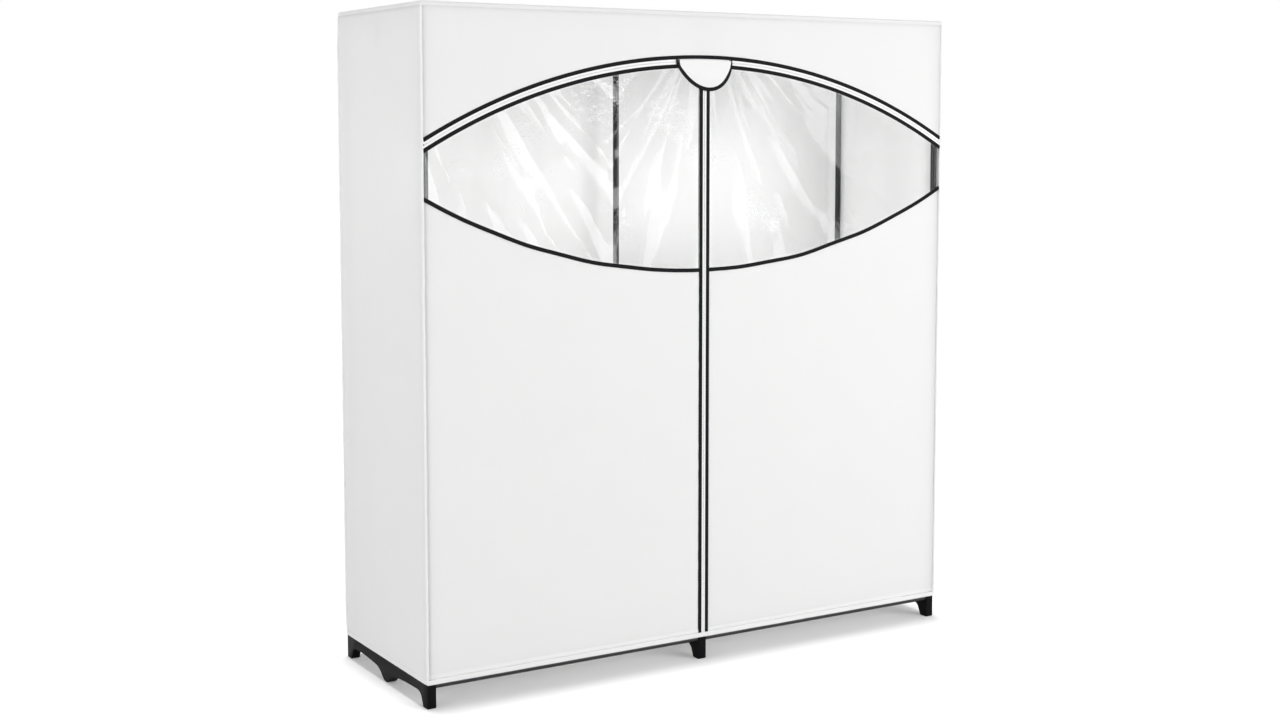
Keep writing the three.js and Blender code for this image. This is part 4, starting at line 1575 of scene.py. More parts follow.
@dataclass
class Flap:
    """The half-round flap that covers the meeting of the zips."""

    middle: float = -0.0026
    half_width: float = 0.0774
    skew: float = 0.0146
    belly: float = 0.003
    rim_top: float = 1.503
    depth: float = 0.0665
    bulge: Pair = (1.4, 1.6)
    seam_proud: float = 0.0015
    rim_lift: float = 0.002
    lift: float = 0.005
    rise: float = 0.0013
    rim_reach: Pair = (0.6, 0.33)
    bumps: tuple[Pair, ...] = ((-0.014, 1.504), (0.014, 1.504), (0.0, 1.482))
    bump_height: float = 0.0005
    bump_width: float = 0.012
    # Painted shade along the flap's sewn top edge.
    seam_shade: Pair = (0.3, 0.003)
    leg_gap: float = 0.0005
    thickness: float = 0.0008
    binding: Section = Section(DATUM.binding_width * 1.15, 0.0021)
    near_rows: tuple[float, ...] = (0, 0.02, 0.04, 0.07)
    first_row: float = 0.11
    rows: int = 22
    columns: int = 72
    end_angle: float = 0.02
    body: str = "flap"

    @property
    def seam_radius(self) -> float:
        """The radius of the arc that the flap is sewn along."""
        return DATUM.arch_radius + DATUM.binding_spacing / 2 - DATUM.binding_width / 2 - DATUM.gap

    @property
    def binding_out(self) -> float:
        """How far the binding's middle stands in front of the cloth's middle."""
        return self.seam_proud + self.rim_lift - self.thickness / 2

    def rim(self, angle: Array) -> Array:
        """The rim's middle line.

        Args:
            angle: Places along it, from its right end at 0 to its left end at pi.

        Returns:
            Its points, as x and z.
        """
        sine = np.maximum(np.sin(angle), 0)
        power = np.where(angle < math.pi / 2, *self.bulge)
        x = self.middle + self.half_width * np.cos(angle) + self.skew * sine**2
        x = x + self.belly * np.sin(2 * angle)
        return np.stack([x, self.rim_top - self.depth * sine**power], -1)

    def binding_path(self) -> Array:
        """The whole line of the flap's binding, with a leg up to the seam at each end.

        Returns:
            Its points, as x and z.
        """
        curve = self.rim(np.linspace(0, math.pi, 90))
        legs = []
        for x, z in (curve[0], curve[-1]):
            top = float(DATUM.over_arc(self.seam_radius, x)) - self.leg_gap
            legs.append([[x, top - share * (top - z)] for share in (0, 0.5)])
        return np.concatenate([legs[0], curve, legs[1][::-1]])

    def build(self) -> None:
        """Makes the flap's binding and its cloth."""
        path = self.binding_path()
        ribbon("flap_binding", self.body, BLACK_BINDING, path, self.binding, self.binding_out)
        angle = np.linspace(self.end_angle, math.pi - self.end_angle, self.columns)
        rim = self.rim(angle)
        top = DATUM.over_arc(self.seam_radius, rim[:, 0])
        shares = np.concatenate([self.near_rows, np.linspace(self.first_row, 1, self.rows)])[:, None]
        z = top + (rim[:, 1] - top) * shares
        x = np.broadcast_to(rim[:, 0], z.shape)
        across = np.abs(x / self.half_width)
        rim_start, rim_width = self.rim_reach
        rim_share = np.clip((shares - rim_start) / rim_width, 0, 1)
        rim_share = rim_share**2 * (3 - 2 * rim_share)
        lift = (self.lift - self.rim_lift) * (1 - np.clip(across, 0, 1) ** 6)
        middle = self.rim_lift + lift * (1 - rim_share)
        for place, height in self.bumps:
            away = np.hypot(x - place, (z - height) * 0.8)
            middle = middle + self.bump_height * smooth_peak(away, self.bump_width) * (1 - rim_share)
        rise = 1 - np.exp(-(((top - z) / self.rise) ** 1.5))
        front = DATUM.front_middle - self.seam_proud - middle * rise
        draft = Draft()
        # Painted shade in the seam along the flap's top.
        dark, dark_width = self.seam_shade
        shade = dark * smooth_peak(top - z, dark_width)
        draft.grid(np.stack([x, front, z], -1), np.stack([x, z], -1), shade=shade)
        piece = SHEETS.thicken(draft.build("zip_flap", closed=False), (0, -1, 0), self.thickness)
        dress(piece, FLAP_CLOTH, self.body, "zip_flap")
        area = abs(area_under(top - rim[:, 1], rim[:, 0]))


# Hard parts.
def merged_copy(node: str, merge: float = 0.00001, flat_degrees: float = 1.0) -> Mesh:
    """A copy of a CAD node's mesh, in place, with its loose triangles joined and its flat faces whole.

    Args:
        node: The node.
        merge: How close points are that become one.
        flat_degrees: How far faces may turn that become one.

    Returns:
        The mesh.
    """
    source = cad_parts[node]
    mesh = source.data.copy()
    mesh.transform(source.matrix_world)
    work = bmesh.new()
    work.from_mesh(mesh)
    bmesh.ops.remove_doubles(work, verts=work.verts, dist=merge)
    limit = math.radians(flat_degrees)
    bmesh.ops.dissolve_limit(work, angle_limit=limit, verts=work.verts, edges=work.edges)
    work.to_mesh(mesh)
    work.free()
    return mesh


def ease(piece: Object, width: float, segments: int = 3, sharp_degrees: float = 30.0) -> None:
    """Rounds a piece's sharp edges.

    Args:
        piece: The piece.
        width: How wide the rounding is.
        segments: How many steps it has.
        sharp_degrees: The angle past which an edge is sharp.
    """
    bevel = piece.modifiers.new("ease", "BEVEL")
    bevel.width = width
    bevel.segments = segments
    bevel.limit_method = "ANGLE"
    bevel.angle_limit = math.radians(sharp_degrees)
    bevel.use_clamp_overlap = False
    bevel.harden_normals = False


@dataclass
class Sliders:
    """The three zip sliders and their pull tabs, which are parked under the flap."""

    names: tuple[str, ...] = ("centre", "left_arch", "right_arch")
    ease_width: float = 0.00018

    def build(self) -> None:
        """Makes the sliders and the tabs from the CAD's own shapes, with eased edges."""
        for name in self.names:
            for part in ("slider", "pull"):
                node = f"{name}_{part}"
                piece = linked(node, merged_copy(node))
                ease(piece, self.ease_width, 2)
                dress(smooth(settle(piece), Crease.METAL), NICKEL, node, node)


@dataclass
class Tubes:
    """The black steel tubes: poles in two sections, cross tubes and hanging rods."""

    radius: float = 0.008
    wall: float = 0.0008
    swage: float = 0.03
    shoulder: tuple[Pair, ...] = ((0.0, -0.0024), (-0.00035, -0.0011))
    neck_foot: tuple[Pair, ...] = ((0.0003, -0.0002), (0.0, 0.0004))
    inner_cone: Pair = (-0.0026, -0.0052)
    joint: float = 0.82
    eased: float = 0.0003
    sides: int = 48
    cross: tuple[str, ...] = (
        "bottom_rail_front", "bottom_rail_rear", "top_tube_front", "top_tube_rear", "hanging_rod",
    )
    body: str = "frame"

    def straight(self, length: float) -> list[Pair]:
        """The profile of a plain tube."""
        outer, bore, easing = self.radius, self.radius - self.wall, self.eased
        return [
            (bore, easing), (bore + easing / 2, 0), (outer - easing, 0), (outer, easing),
            (outer, length - easing), (outer - easing, length),
            (bore + easing / 2, length), (bore, length - easing),
        ]

    def swaged(self, length: float) -> list[Pair]:
        """The profile of a tube whose end is narrowed to enter the next one.

        Args:
            length: Its length up to the narrowed end.

        Returns:
            The profile's points, as radius and place along the axis.
        """
        outer, bore, easing = self.radius, self.radius - self.wall, self.eased
        neck = bore - DATUM.gap
        end = length + self.swage
        inner = neck - self.wall
        return [
            (bore, easing), (bore + easing / 2, 0), (outer - easing, 0), (outer, easing),
            *((outer + out, length + along) for out, along in self.shoulder),
            *((neck + out, length + along) for out, along in self.neck_foot),
            (neck, end - easing), (neck - easing, end), (inner, end),
            *zip((inner, bore), (length + along for along in self.inner_cone)),
        ]

    def make(self, node: str, profile: Sequence[Pair], start: Sequence[float], axis: int) -> None:
        """Makes one tube by turning its profile.

        Args:
            node: The node that it stands for.
            profile: Its closed profile, as radius and place along its axis.
            start: Where its axis starts.
            axis: 0 for an axis along x, and 2 for one along z.
        """
        radius, along = np.array(profile).T
        angle = np.linspace(0, TURN, self.sides, endpoint=False)
        first = radius[:, None] * np.cos(angle)
        second = radius[:, None] * np.sin(angle)
        third = np.broadcast_to(along[:, None], first.shape)
        order = (third, first, second) if axis == 0 else (first, second, third)
        run = np.concatenate([[0], np.cumsum(np.hypot(np.diff(radius), np.diff(along))), [0]])
        run[-1] = run[-2] + math.hypot(radius[0] - radius[-1], along[0] - along[-1])
        around = np.linspace(0, TURN * float(radius.max()), self.sides + 1)
        places = np.stack(np.meshgrid(run, around, indexing="ij"), -1)
        draft = Draft()
        draft.grid(np.stack(order, -1) + np.array(start), places, round_rows=True, round_columns=True)
        draft.piece(node, BLACK_COAT, self.body, Crease.METAL)

    def build(self) -> None:
        """Makes every tube where its node is."""
        for word in ("left", "centre", "right"):
            for end in ("front", "rear"):
                stem = f"pole_{end}_{word}"
                for part in ("lower", "upper"):
                    low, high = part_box(f"{stem}_{part}")
                    start = ((low.x + high.x) / 2, (low.y + high.y) / 2, low.z)
                    length = self.joint - low.z if part == "lower" else high.z - low.z
                    profile = self.swaged(length) if part == "lower" else self.straight(length)
                    self.make(f"{stem}_{part}", profile, start, 2)
        for side in Side:
            for stem in self.cross:
                low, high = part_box(f"{stem}_{side.word}")
                start = (low.x, (low.y + high.y) / 2, (low.z + high.z) / 2)
                self.make(f"{stem}_{side.word}", self.straight(high.x - low.x), start, 0)


class Outline:
    """A closed outline in y and z, drawn from point to point."""

    def __init__(self, y: float, z: float) -> None:
        """Starts at a point."""
        self.points: list[Pair] = [(y, z)]

    def line(self, *points: Pair) -> None:
        """Draws straight lines to the points."""
        self.points.extend(points)

    def curve(self, *controls: Pair, steps: int = 20) -> None:
        """Draws a curve.

        Args:
            controls: Its control points, of which the last one is its end.
            steps: How many straight steps it has.
        """
        line = np.array([self.points[-1], *controls])
        for share in np.linspace(0, 1, steps + 1)[1:]:
            level = line
            while len(level) > 1:
                level = level[:-1] * (1 - share) + level[1:] * share
            self.points.append(tuple(level[0]))

    def arc(self, y: float, z: float, radius: float, start: float, end: float, steps: int = 24) -> None:
        """Draws a round end about a centre, between two angles."""
        for angle in np.linspace(start, end, steps + 1):
            self.points.append((y + radius * math.cos(angle), z + radius * math.sin(angle)))

    def plate(self, name: str, x: float, thickness: float) -> Object:
        """Makes a plate across x from the outline.

        Args:
            name: Its name.
            x: The place of its middle.
            thickness: Its thickness.

        Returns:
            The plate.
        """
        ring = [point for i, point in enumerate(self.points) if math.dist(point, self.points[i - 1]) > TINY]
        draft = Draft()
        numbers = []
        for way in (-1, 1):
            points = np.array([(x + way * thickness / 2, y, z) for y, z in ring])
            numbers.append(draft.keep(points) + np.arange(len(ring)))
        low, high = numbers
        draft.faces.append(np.stack([low, high, np.roll(high, -1), np.roll(low, -1)], -1))
        draft.corners.append(np.zeros((len(ring), 4, 2)))
        draft.cap(low)
        draft.cap(high[::-1])
        return draft.build(name)


@dataclass
class Rails:
    """The moulded base rails and top rails of the three side frames."""

    width: float = 0.022
    half: float = 0.244
    foot: float = 0.027
    chamfer: float = 0.002
    lean: float = 0.007
    lean_height: float = 0.018
    arch: float = 0.033
    shoulder: float = 0.027
    arch_ease: float = 0.006
    apron: float = 0.0275
    pendant_flat: float = 0.003
    pendant: float = 0.022
    pendant_ease: float = 0.006
    ogee_rise: float = 0.025
    ogee: float = 0.042
    base_height: float = 0.064
    post_height: float = 0.112
    post_half: float = 0.013
    bottom_tube: float = 0.053
    top_low: float = 1.5921
    top_high: float = 1.6212
    top_width: float = 0.019
    top_half: float = 0.24
    top_chamfer: float = 0.004
    top_socket: float = 0.032
    top_tube: float = 1.608
    rod: float = 1.55
    rod_round: float = 0.015
    hole: float = 0.0083
    hole_depth: float = 0.009
    hole_sides: int = 48
    ease_width: float = 0.0012
    overrun: float = 0.004
    body: str = "frame"

    def __post_init__(self) -> None:
        """Reads where the poles stand."""
        self.front, self.rear = (
            (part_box(f"pole_{end}_centre_lower")[0].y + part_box(f"pole_{end}_centre_lower")[1].y) / 2
            for end in ("front", "rear")
        )

    def base_outline(self) -> Outline:
        """A base rail from the side: feet, apron and pendant below, and posts above.

        Returns:
            The outline.
        """
        foot = self.half - self.foot
        lean = foot - self.lean
        shoulder = lean - self.shoulder
        ogee_end = self.pendant + self.ogee
        half = Outline(self.pendant_flat, 0.0)
        eased = (self.pendant + self.pendant_ease, self.ogee_rise)
        half.curve((self.pendant, 0.0), eased, (ogee_end, self.apron))
        half.curve(((ogee_end + shoulder) / 2, self.arch), (shoulder, self.arch))
        half.curve((lean - self.arch_ease, self.arch), (lean, self.lean_height), steps=12)
        half.line((foot, self.chamfer), (foot + self.chamfer, 0.0))
        half.line((self.half - self.chamfer, 0.0), (self.half, self.chamfer))
        outline = Outline(-half.points[-1][0], half.points[-1][1])
        outline.line(*[(-y, z) for y, z in reversed(half.points[:-1])])
        outline.line(*half.points)
        outline.line((self.half, self.base_height))
        post, low, high = self.post_half, self.base_height, self.post_height
        outline.line((self.rear + post, low), (self.rear + post, high), (self.rear - post, high))
        outline.line((self.rear - post, low), (self.front + post, low), (self.front + post, high))
        outline.line((-self.half, high))
        return outline

    def top_outline(self) -> Outline:
        """A top rail from the side: a beam with two sockets and the lug for the hanging rods.

        Returns:
            The outline.
        """
        socket = self.top_low - self.top_socket
        post = self.post_half
        half, cut = self.top_half, self.top_chamfer
        outline = Outline(-half + cut, self.top_high)
        outline.line((-half, self.top_high - cut), (-half, socket), (self.front + post, socket))
        outline.line((self.front + post, self.top_low))
        outline.line((-self.rod_round, self.top_low), (-self.rod_round, self.rod))
        outline.arc(0.0, self.rod, self.rod_round, math.pi, TURN)
        outline.line((self.rod_round, self.top_low), (self.rear - post, self.top_low))
        outline.line((self.rear - post, socket), (self.rear + post, socket), (self.rear + post, self.top_low))
        outline.line((half, self.top_low), (half, self.top_high - cut), (half - cut, self.top_high))
        return outline

    def holes(
        self, x: float, width: float, facing: Sequence[int], up: Sequence[tuple], across: Sequence[tuple]
    ) -> Object:
        """The cutter for a rail's sockets.

        Args:
            x: The rail's place.
            width: The rail's width.
            facing: The bays that its side sockets open to: -1, 1 or both.
            up: The pole sockets, as y, lowest z and highest z.
            across: The side sockets, as y and z.

        Returns:
            The cutter.
        """
        drilled = [((x, y, low), high - low, 2) for y, low, high in up]
        for y, z in across:
            for way in facing:
                start = x + width / 2 - self.hole_depth if way > 0 else x - width / 2 - self.overrun
                drilled.append(((start, y, z), self.hole_depth + self.overrun, 0))
        angle = np.linspace(0, TURN, self.hole_sides, endpoint=False)
        ring = [np.ones((2, 1)) * self.hole * turn for turn in (np.cos(angle), np.sin(angle))]
        draft = Draft()
        for start, length, axis in drilled:
            ends = np.array([0.0, length])[:, None] * np.ones(self.hole_sides)
            points = np.stack((ends, *ring) if axis == 0 else (*ring, ends), -1) + np.array(start)
            numbers = draft.grid(points, np.zeros((2, self.hole_sides + 1, 2)), round_columns=True)
            draft.cap(numbers[0][::-1])
            draft.cap(numbers[1])
        return draft.build("holes")

    def make(self, node: str, outline: Outline, x: float, width: float, cutter: Object) -> None:
        """Makes one rail with rounded edges and cut sockets.

        Args:
            node: The node that it stands for.
            outline: The rail from the side.
            x: Its place.
            width: Its width.
            cutter: The cutter for its sockets, which is used up.
        """
        piece = outline.plate(node, x, width)
        ease(piece, self.ease_width)
        cut = piece.modifiers.new("sockets", "BOOLEAN")
        cut.operation = "DIFFERENCE"
        cut.solver = "EXACT"
        cut.object = cutter
        settle(piece)
        bpy.data.objects.remove(cutter)
        dress(smooth(piece, Crease.MOULDED), BLACK_PLASTIC, self.body, node)

    def build(self) -> None:
        """Makes the six rails."""
        for word, facing in (("left", (1,)), ("centre", (-1, 1)), ("right", (-1,))):
            low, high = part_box(f"base_rail_{word}")
            x = (low.x + high.x) / 2
            poles = (self.front, self.rear)
            up = [(y, self.base_height, self.post_height + self.overrun) for y in poles]
            across = [(y, self.bottom_tube) for y in poles]
            holes = self.holes(x, self.width, facing, up, across)
            self.make(f"base_rail_{word}", self.base_outline(), x, self.width, holes)
            bottom = self.top_low - self.top_socket - self.overrun
            up = [(y, bottom, self.top_low + DATUM.gap) for y in poles]
            across = [*((y, self.top_tube) for y in poles), (0.0, self.rod)]
            holes = self.holes(x, self.top_width, facing, up, across)
            self.make(f"top_rail_{word}", self.top_outline(), x, self.top_width, holes)


# Repeated shapes.
@dataclass(frozen=True)
class Bead:
    """A small rounded shape that repeats along a path, such as a stitch or a coil tooth."""

    pitch: float
    length: float
    across: float
    depth: float
    finish: Finish
    wobble: float = 0.0
    seed: int = 7


STITCH = Bead(0.004, 0.0031, 0.0006, 0.0006, WHITE_THREAD, 0.1)
DARK_STITCH = Bead(0.004, 0.0031, 0.0006, 0.0006, BLACK_THREAD, 0.1)
TOOTH = Bead(0.002, 0.0009, 0.0034, 0.002, COIL_NYLON)


class Repeater(Nodes):
    """Geometry nodes that set a bead at each step of a path, and the pieces made with them."""

    sockets = {
        "Paths": "Geometry", "Pitch": "Float", "Length": "Float", "Across": "Float", "Depth": "Float",
        "Wobble": "Float", "Seed": "Int", "Thread": "Material",
    }
    segments = 8
    rings = 5

    def __init__(self) -> None:
        """Builds the tree."""
        super().__init__(bpy.data.node_groups.new("beads_along_paths", "GeometryNodeTree"))
        for name, kind in self.sockets.items():
            self.tree.interface.new_socket(name, in_out="INPUT", socket_type=f"NodeSocket{kind}")
        self.tree.interface.new_socket("Beads", in_out="OUTPUT", socket_type="NodeSocketGeometry")
        given = self.add("NodeGroupInput").outputs
        curve = self.add("GeometryNodeMeshToCurve", None, {"Mesh": given["Paths"]}).outputs[0]
        steps = {"Curve": curve, "Length": given["Pitch"]}
        spaced = self.add("GeometryNodeCurveToPoints", {"mode": "LENGTH"}, steps).outputs
        way = {"Vector": spaced["Tangent"]}
        along = self.add("FunctionNodeAlignRotationToVector", {"axis": "X"}, way).outputs[0]
        rounds = {"Segments": self.segments, "Rings": self.rings, "Radius": 0.5}
        ball = self.add("GeometryNodeMeshUVSphere", None, rounds).outputs["Mesh"]
        soft = self.add("GeometryNodeSetShadeSmooth", None, {"Geometry": ball}).outputs[0]
        sizes = {"X": given["Length"], "Y": given["Depth"], "Z": given["Across"]}
        size = self.add("ShaderNodeCombineXYZ", None, sizes).outputs[0]
        least, most = (
            self.add("ShaderNodeMath", {"operation": kind}, {0: 1.0, 1: given["Wobble"]}).outputs[0]
            for kind in ("SUBTRACT", "ADD")
        )
        limits = {2: least, 3: most, "Seed": given["Seed"]}
        draw = self.add("FunctionNodeRandomValue", {"data_type": "FLOAT"}, limits).outputs[1]
        scaled = self.add("ShaderNodeVectorMath", {"operation": "SCALE"}, {0: size, "Scale": draw}).outputs[0]
        placed = {"Points": spaced["Points"], "Instance": soft, "Rotation": along, "Scale": scaled}
        beads = self.add("GeometryNodeInstanceOnPoints", None, placed).outputs[0]
        real = self.add("GeometryNodeRealizeInstances", None, {"Geometry": beads}).outputs[0]
        thread = {"Geometry": real, "Material": given["Thread"]}
        self.add("NodeGroupOutput", None, {0: self.add("GeometryNodeSetMaterial", None, thread).outputs[0]})

    def follow(self, name: str, body: str, paths: Sequence[Array], bead: Bead, pitch: float = 0.0) -> None:
        """Makes one piece of beads along paths.

        Args:
            name: The piece's name.
            body: The CAD body that it rides on.
            paths: The paths, each as points in space.
            bead: The bead.
            pitch: Its step, or 0 for the bead's own.
        """
        mesh = bpy.data.meshes.new(name)
        ends = np.cumsum([0, *(len(path) for path in paths)])
        edges = [(i, i + 1) for first, last in zip(ends[:-1], ends[1:]) for i in range(first, last - 1)]
        mesh.from_pydata(np.concatenate(paths).tolist(), edges, [])
        carrier = linked(name, mesh)
        modifier = carrier.modifiers.new("beads", "NODES")
        modifier.node_group = self.tree
        given = {
            "Pitch": pitch or bead.pitch, "Length": bead.length, "Across": bead.across, "Depth": bead.depth,
            "Wobble": bead.wobble, "Seed": bead.seed, "Thread": bead.finish.material(),
        }
        for item in self.tree.interface.items_tree:
            if item.name in given:
                modifier[item.identifier] = given[item.name]
        dress(settle(carrier), bead.finish, body)


def in_front(path: Array, out: float) -> Array:
    """A path of the front's plane as points in space, out from the cloth's middle."""
    return np.stack([path[:, 0], np.full(len(path), DATUM.front_middle - out), path[:, 1]], -1)


@dataclass
class Stitching:
    """The rows of stitches and the teeth of the coils, one piece for each body and thread."""

    doors: Sequence[Door]
    arch: ArchZip
    flap: Flap
    sunk: float = 0.0001
    row_inset: float = 0.006
    row_gap: float = 0.004
    door_gap: float = 0.02
    hem_row: Pair = (0.0025, 0.0013)
    lid_row: float = 0.0072
    lid_gap: float = 0.015
    coil_lap: float = 0.0006
    last_tooth: float = 0.99999

    def binding_rows(self, path: Array, out: float = 0.0, section: Section = BINDING) -> list[Array]:
        """The row of stitches down the middle of a binding, on both faces."""
        proud = section.thickness / 2 * section.height_shares[5] - self.sunk
        return [in_front(path, out + proud), in_front(path, out - proud)]

    def corner_rows(self) -> list[Array]:
        """The rows beside the corner seams of the fixed walls.

        Returns:
            Their paths in space.
        """
        rows = []
        up = np.linspace(DATUM.hem + self.row_gap, DATUM.seam_top, 160)
        inset = SHEETS.seam_dip(np.array(self.row_inset)) + self.sunk
        for wall in (Wall.LEFT, Wall.RIGHT, Wall.BACK):
            half = DATUM.seam_x if wall is Wall.BACK else DATUM.seam_y
            rows += [FORM.wall(wall, way * (half - self.row_inset), up, inset) for way in (-1, 1)]
        return rows

    def edge_rows(self) -> list[Array]:
        """The rows along the hem and the lid's edge.

        Returns:
            Their paths in space.
        """
        rows = []
        hem = DATUM.hem + SHEETS.hem_height
        for wall in (Wall.LEFT, Wall.RIGHT, Wall.BACK):
            half = DATUM.seam_x if wall is Wall.BACK else DATUM.seam_y
            along = np.linspace(-half, half, 120)
            rows.append(FORM.wall(wall, along, hem, SHEETS.hem(SHEETS.hem_height) + self.sunk))
        along = np.linspace(-DATUM.seam_x, DATUM.seam_x, 160)
        down, out = self.hem_row
        rows.append(in_front(np.stack([along, np.full(along.shape, hem - down)], -1), out))
        far_x, far_y = DATUM.half_width - self.lid_gap, DATUM.half_depth - self.lid_gap
        for way in (-1, 1):
            x, y = np.linspace(-far_x, far_x, 160), np.linspace(-far_y, far_y, 60)
            rows.append(FORM.lid(x, way * DATUM.half_depth, self.lid_row))
            rows.append(FORM.lid(way * DATUM.half_width, y, self.lid_row))
        return rows

    def teeth(self, middle: float, start: float, end: float, shifted: bool) -> tuple[Array, float]:
        """The path of one half of the arch coil, and its pitch along that path.

        Args:
            middle: How far the path lies outside the arch's own circle.
            start: Where it starts, as an arc length from the wardrobe's middle.
            end: Where it ends.
            shifted: Whether its teeth stand between those of the other half.

        Returns:
            The path in space, and the pitch.
        """
        count = math.floor((end - start) / TOOTH.pitch)
        first = math.ceil(start / TOOTH.pitch) + 0.5 * shifted
        angles = (first + np.linspace(0, count, 4 * count + 1)) * TOOTH.pitch / DATUM.arch_radius
        radius = DATUM.arch_radius + middle
        path = np.stack([radius * np.sin(angles), DATUM.arch_centre + radius * np.cos(angles)], -1)
        length = float(np.linalg.norm(np.diff(path, axis=0), axis=1).sum())
        return in_front(path, 0.0), length / count * self.last_tooth

    def build(self) -> None:
        """Makes every row and every coil."""
        repeater = Repeater()
        repeater.follow("corner_stitches", "frame", self.corner_rows(), STITCH)
        repeater.follow("edge_stitches", "frame", self.edge_rows(), STITCH)
        repeater.follow("arch_stitches", "frame", self.binding_rows(self.arch.binding_path()), DARK_STITCH)
        rows = self.binding_rows(self.flap.binding_path(), self.flap.binding_out, self.flap.binding)
        repeater.follow("flap_stitches", "flap", rows, DARK_STITCH)
        middle = TOOTH.across / 2 - self.coil_lap
        reach = math.asin(DATUM.seam_x / DATUM.arch_radius) * DATUM.arch_radius - TOOTH.pitch
        inset = float(SHEETS.seam_dip(np.array(self.row_inset))) + self.sunk
        seam_end = float(DATUM.over_arc(DATUM.arch_radius, DATUM.seam_x)) - self.door_gap
        up = np.linspace(DATUM.door_bottom + self.row_gap, seam_end, 150)
        path, pitch = self.teeth(middle, -reach, reach, False)
        repeater.follow("arch_coil", "frame", [path], TOOTH, pitch)
        for door in self.doors:
            side = door.side.value
            rows = [*self.binding_rows(door.edge_path()), *self.binding_rows(door.window_path())]
            repeater.follow(door.named("door_stitches"), door.body, rows, DARK_STITCH)
            start, end = sorted((side * (ZIPS.tab_reach + TOOTH.pitch), side * reach))
            path, pitch = self.teeth(-middle, start, end, True)
            repeater.follow(door.named("arch_coil"), door.body, [path], TOOTH, pitch)
            low = DATUM.door_bottom + TOOTH.pitch / 2 * (1 + (side > 0))
            count = math.floor((ZIPS.centre_top(door.side) - low) / TOOTH.pitch - 0.5)
            z = low + np.linspace(0, count, count + 1) * TOOTH.pitch
            path = in_front(np.stack([np.full(z.shape, side * middle), z], -1), 0.0)
            pitch = TOOTH.pitch * self.last_tooth
            repeater.follow(door.named("centre_coil"), door.body, [path], TOOTH, pitch)
            row = FORM.wall(Wall.FRONT, side * (DATUM.seam_x - self.row_inset), up, inset)
            repeater.follow(door.named("seam_stitches"), door.body, [row], STITCH)


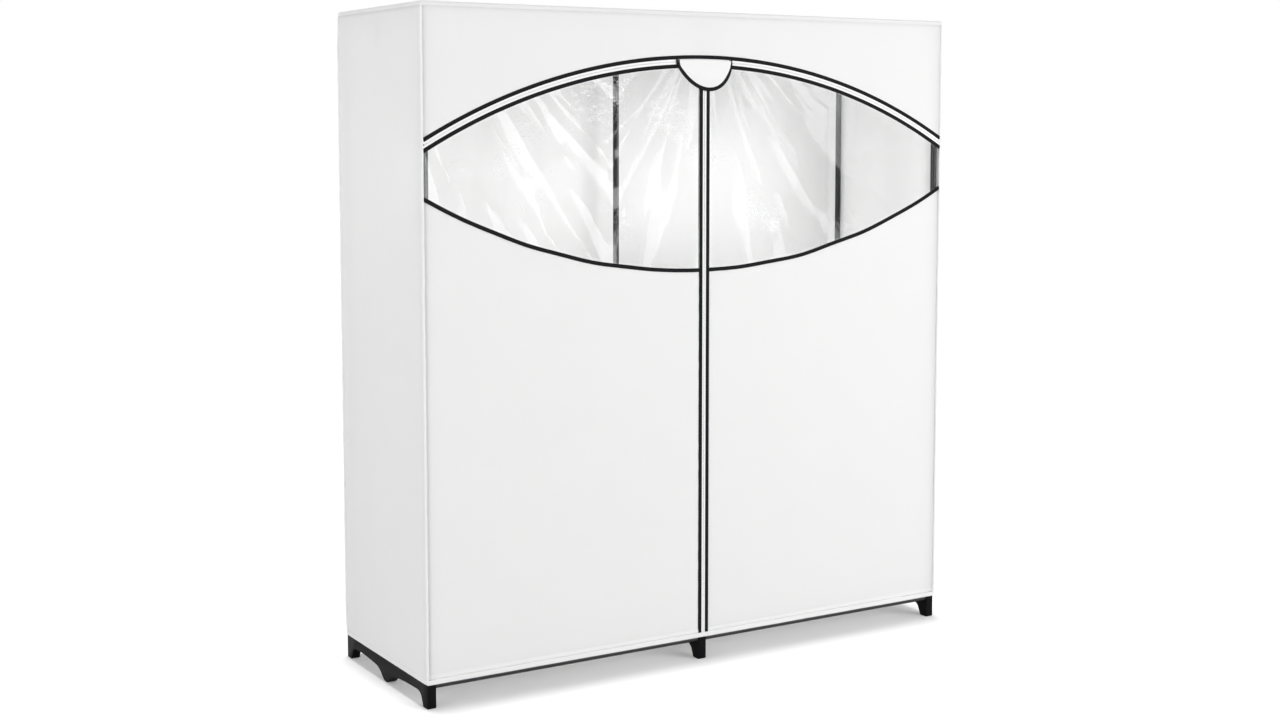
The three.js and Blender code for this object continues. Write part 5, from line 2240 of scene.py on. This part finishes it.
# Studio.
@dataclass
class Studio:
    """The camera at the photograph's viewpoint, the pale floor and the soft light."""

    camera_place: Triple = (-2.4097, -3.8956, 1.3436)
    camera_yaw: float = 31.351
    camera_pitch: float = -5.058
    camera_lens: float = 49.584
    camera_sensor: float = 36.0
    camera_far: float = 50.0
    camera_shift: float = -0.06
    world_level: float = 0.57
    floor_size: float = 80.0
    floor_shown: float = 0.6
    floor_bounce: float = 0.35
    floor_glow: float = 0.2
    sun_level: float = 0.86
    sun_lean: Pair = (0.0, 0.033)
    sun_angle: float = 4.4
    key_place: Triple = (3.4, -5.4, 1.7)
    key_power: float = 204.0
    key_size: float = 4.0
    fill_place: Triple = (-6.2, -1.6, 2.0)
    fill_power: float = 121.0
    inner_spans: tuple[Pair, ...] = ((-0.7, 0.7), (-0.74, -0.36), (0.3, 0.74), (0.2, 0.32))
    inner_levels: tuple[float, ...] = (1.35, 0.5, 2.6, 2.7)
    inner_leans: tuple[float, ...] = (0.0, 0.0, 0.0, 1.0)
    inner_place: Pair = (-0.2, 1.1)
    inner_height: float = 0.9
    fill_size: float = 3.2

    def seen(self, nodes: Nodes) -> NodeSocket:
        """1 for the rays that show the background: camera, glossy and transmission rays.

        Args:
            nodes: The tree that takes the nodes.

        Returns:
            The socket.
        """
        path = nodes.add("ShaderNodeLightPath").outputs
        total = path["Is Camera Ray"]
        for name in ("Is Glossy Ray", "Is Transmission Ray"):
            both = {0: total, 1: path[name]}
            total = nodes.add("ShaderNodeMath", {"operation": "MAXIMUM"}, both).outputs[0]
        return total

    def world(self) -> None:
        """Sets the plain surrounding light, with a white background."""
        world = bpy.data.worlds.new("studio")
        bpy.context.scene.world = world
        world.use_nodes = True
        world.node_tree.nodes.clear()
        nodes = Nodes(world.node_tree)
        light = nodes.add("ShaderNodeBackground", None, {"Strength": self.world_level}).outputs[0]
        white = nodes.add("ShaderNodeBackground", None, {"Color": (1, 1, 1, 1), "Strength": 1.0}).outputs[0]
        light.node.inputs["Color"].default_value = (1, 1, 1, 1)
        mixed = nodes.add("ShaderNodeMixShader", None, {0: self.seen(nodes), 1: light, 2: white}).outputs[0]
        nodes.add("ShaderNodeOutputWorld", None, {"Surface": mixed})

    def floor(self) -> None:
        """Makes the pale floor, and the sun that it alone receives, so that it is white with a shadow."""
        surface = Surface("pale_floor")
        shown, bounce = (
            surface.add("ShaderNodeBsdfDiffuse", None, {"Color": (tone, tone, tone, 1)}).outputs[0]
            for tone in (self.floor_shown, self.floor_bounce)
        )
        own = {"Color": (1, 1, 1, 1), "Strength": self.floor_glow}
        glow = surface.add("ShaderNodeEmission", None, own).outputs[0]
        lit = surface.add("ShaderNodeAddShader", None, {0: shown, 1: glow}).outputs[0]
        mixed = {0: self.seen(surface), 1: bounce, 2: lit}
        mesh = bpy.data.meshes.new("floor")
        half = self.floor_size / 2
        corners = [(-half, -half, 0), (half, -half, 0), (half, half, 0), (-half, half, 0)]
        mesh.from_pydata(corners, [], [(0, 1, 2, 3)])
        mesh.materials.append(surface.finish(surface.add("ShaderNodeMixShader", None, mixed).outputs[0]))
        ground = linked("floor", mesh)
        light = bpy.data.lights.new("floor_sun", "SUN")
        light.angle = math.radians(self.sun_angle)
        light.energy = self.sun_level * math.pi
        sun = linked("floor_sun", light)
        sun.rotation_euler = Vector((*self.sun_lean, 1.0)).to_track_quat("Z", "Y").to_euler()
        receivers = bpy.data.collections.new("floor_only")
        receivers.objects.link(ground)
        sun.light_linking.receiver_collection = receivers

    def lamp(self, name: str, place: Sequence[float], power: float, size: float) -> None:
        """Adds a large soft lamp that faces the wardrobe's middle.

        Args:
            name: Its name.
            place: Its place.
            power: Its power.
            size: Its width.
        """
        light = bpy.data.lights.new(name, "AREA")
        light.shape = "DISK"
        light.size = size
        light.energy = power
        lamp = linked(name, light)
        lamp.location = place
        aim = Vector((0, 0, DATUM.top / 2)) - Vector(place)
        lamp.rotation_euler = aim.to_track_quat("-Z", "Y").to_euler()

    def inner_lamp(self, span: Pair, level: float, lean: float) -> None:
        """Adds an unseen soft lamp behind the doors, for the light that thin white cloth lets in.

        Args:
            span: Its left and right ends.
            level: Its power for each square metre.
            lean: How far it turns to the right, as a tangent. None of its light goes forwards.
        """
        light = bpy.data.lights.new("inner", "AREA")
        light.shape = "RECTANGLE"
        light.size = span[1] - span[0]
        light.size_y = self.inner_height
        light.energy = level * light.size * light.size_y
        light.spread = math.pi - 2 * math.atan(lean)
        lamp = linked("inner", light)
        lamp.location = (sum(span) / 2, *self.inner_place)
        lamp.rotation_euler = Vector((lean, 1, 0)).to_track_quat("-Z", "Y").to_euler()
        lamp.visible_camera = False
        lamp.visible_glossy = False
        lamp.visible_transmission = False

    def camera(self) -> None:
        """Sets the camera."""
        data = bpy.data.cameras.new("viewpoint")
        data.sensor_width = self.camera_sensor
        data.lens = self.camera_lens
        data.shift_y = self.camera_shift
        data.clip_end = self.camera_far
        camera = linked("viewpoint", data)
        camera.location = self.camera_place
        camera.rotation_euler = (math.radians(90 + self.camera_pitch), 0.0, math.radians(-self.camera_yaw))
        bpy.context.scene.camera = camera

    def build(self) -> None:
        """Sets up the whole studio."""
        bpy.context.scene.view_settings.view_transform = "Standard"
        self.world()
        self.floor()
        self.lamp("key", self.key_place, self.key_power, self.key_size)
        self.lamp("fill", self.fill_place, self.fill_power, self.fill_size)
        for lamp in zip(self.inner_spans, self.inner_levels, self.inner_leans):
            self.inner_lamp(*lamp)
        self.camera()


def main() -> None:
    """Builds the studio and every sub-assembly in order."""
    logging.basicConfig(level=logging.INFO, format="%(name)s: %(message)s")
    Studio().build()
    Rails().build()
    Tubes().build()
    arch, flap = ArchZip(), Flap()
    arch.build()
    Cover().build()
    doors = [Door(side) for side in Side]
    for door in doors:
        door.build()
    flap.build()
    Sliders().build()
    Stitching(doors, arch, flap).build()
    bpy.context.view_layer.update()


if __name__ == "__main__":
    main()
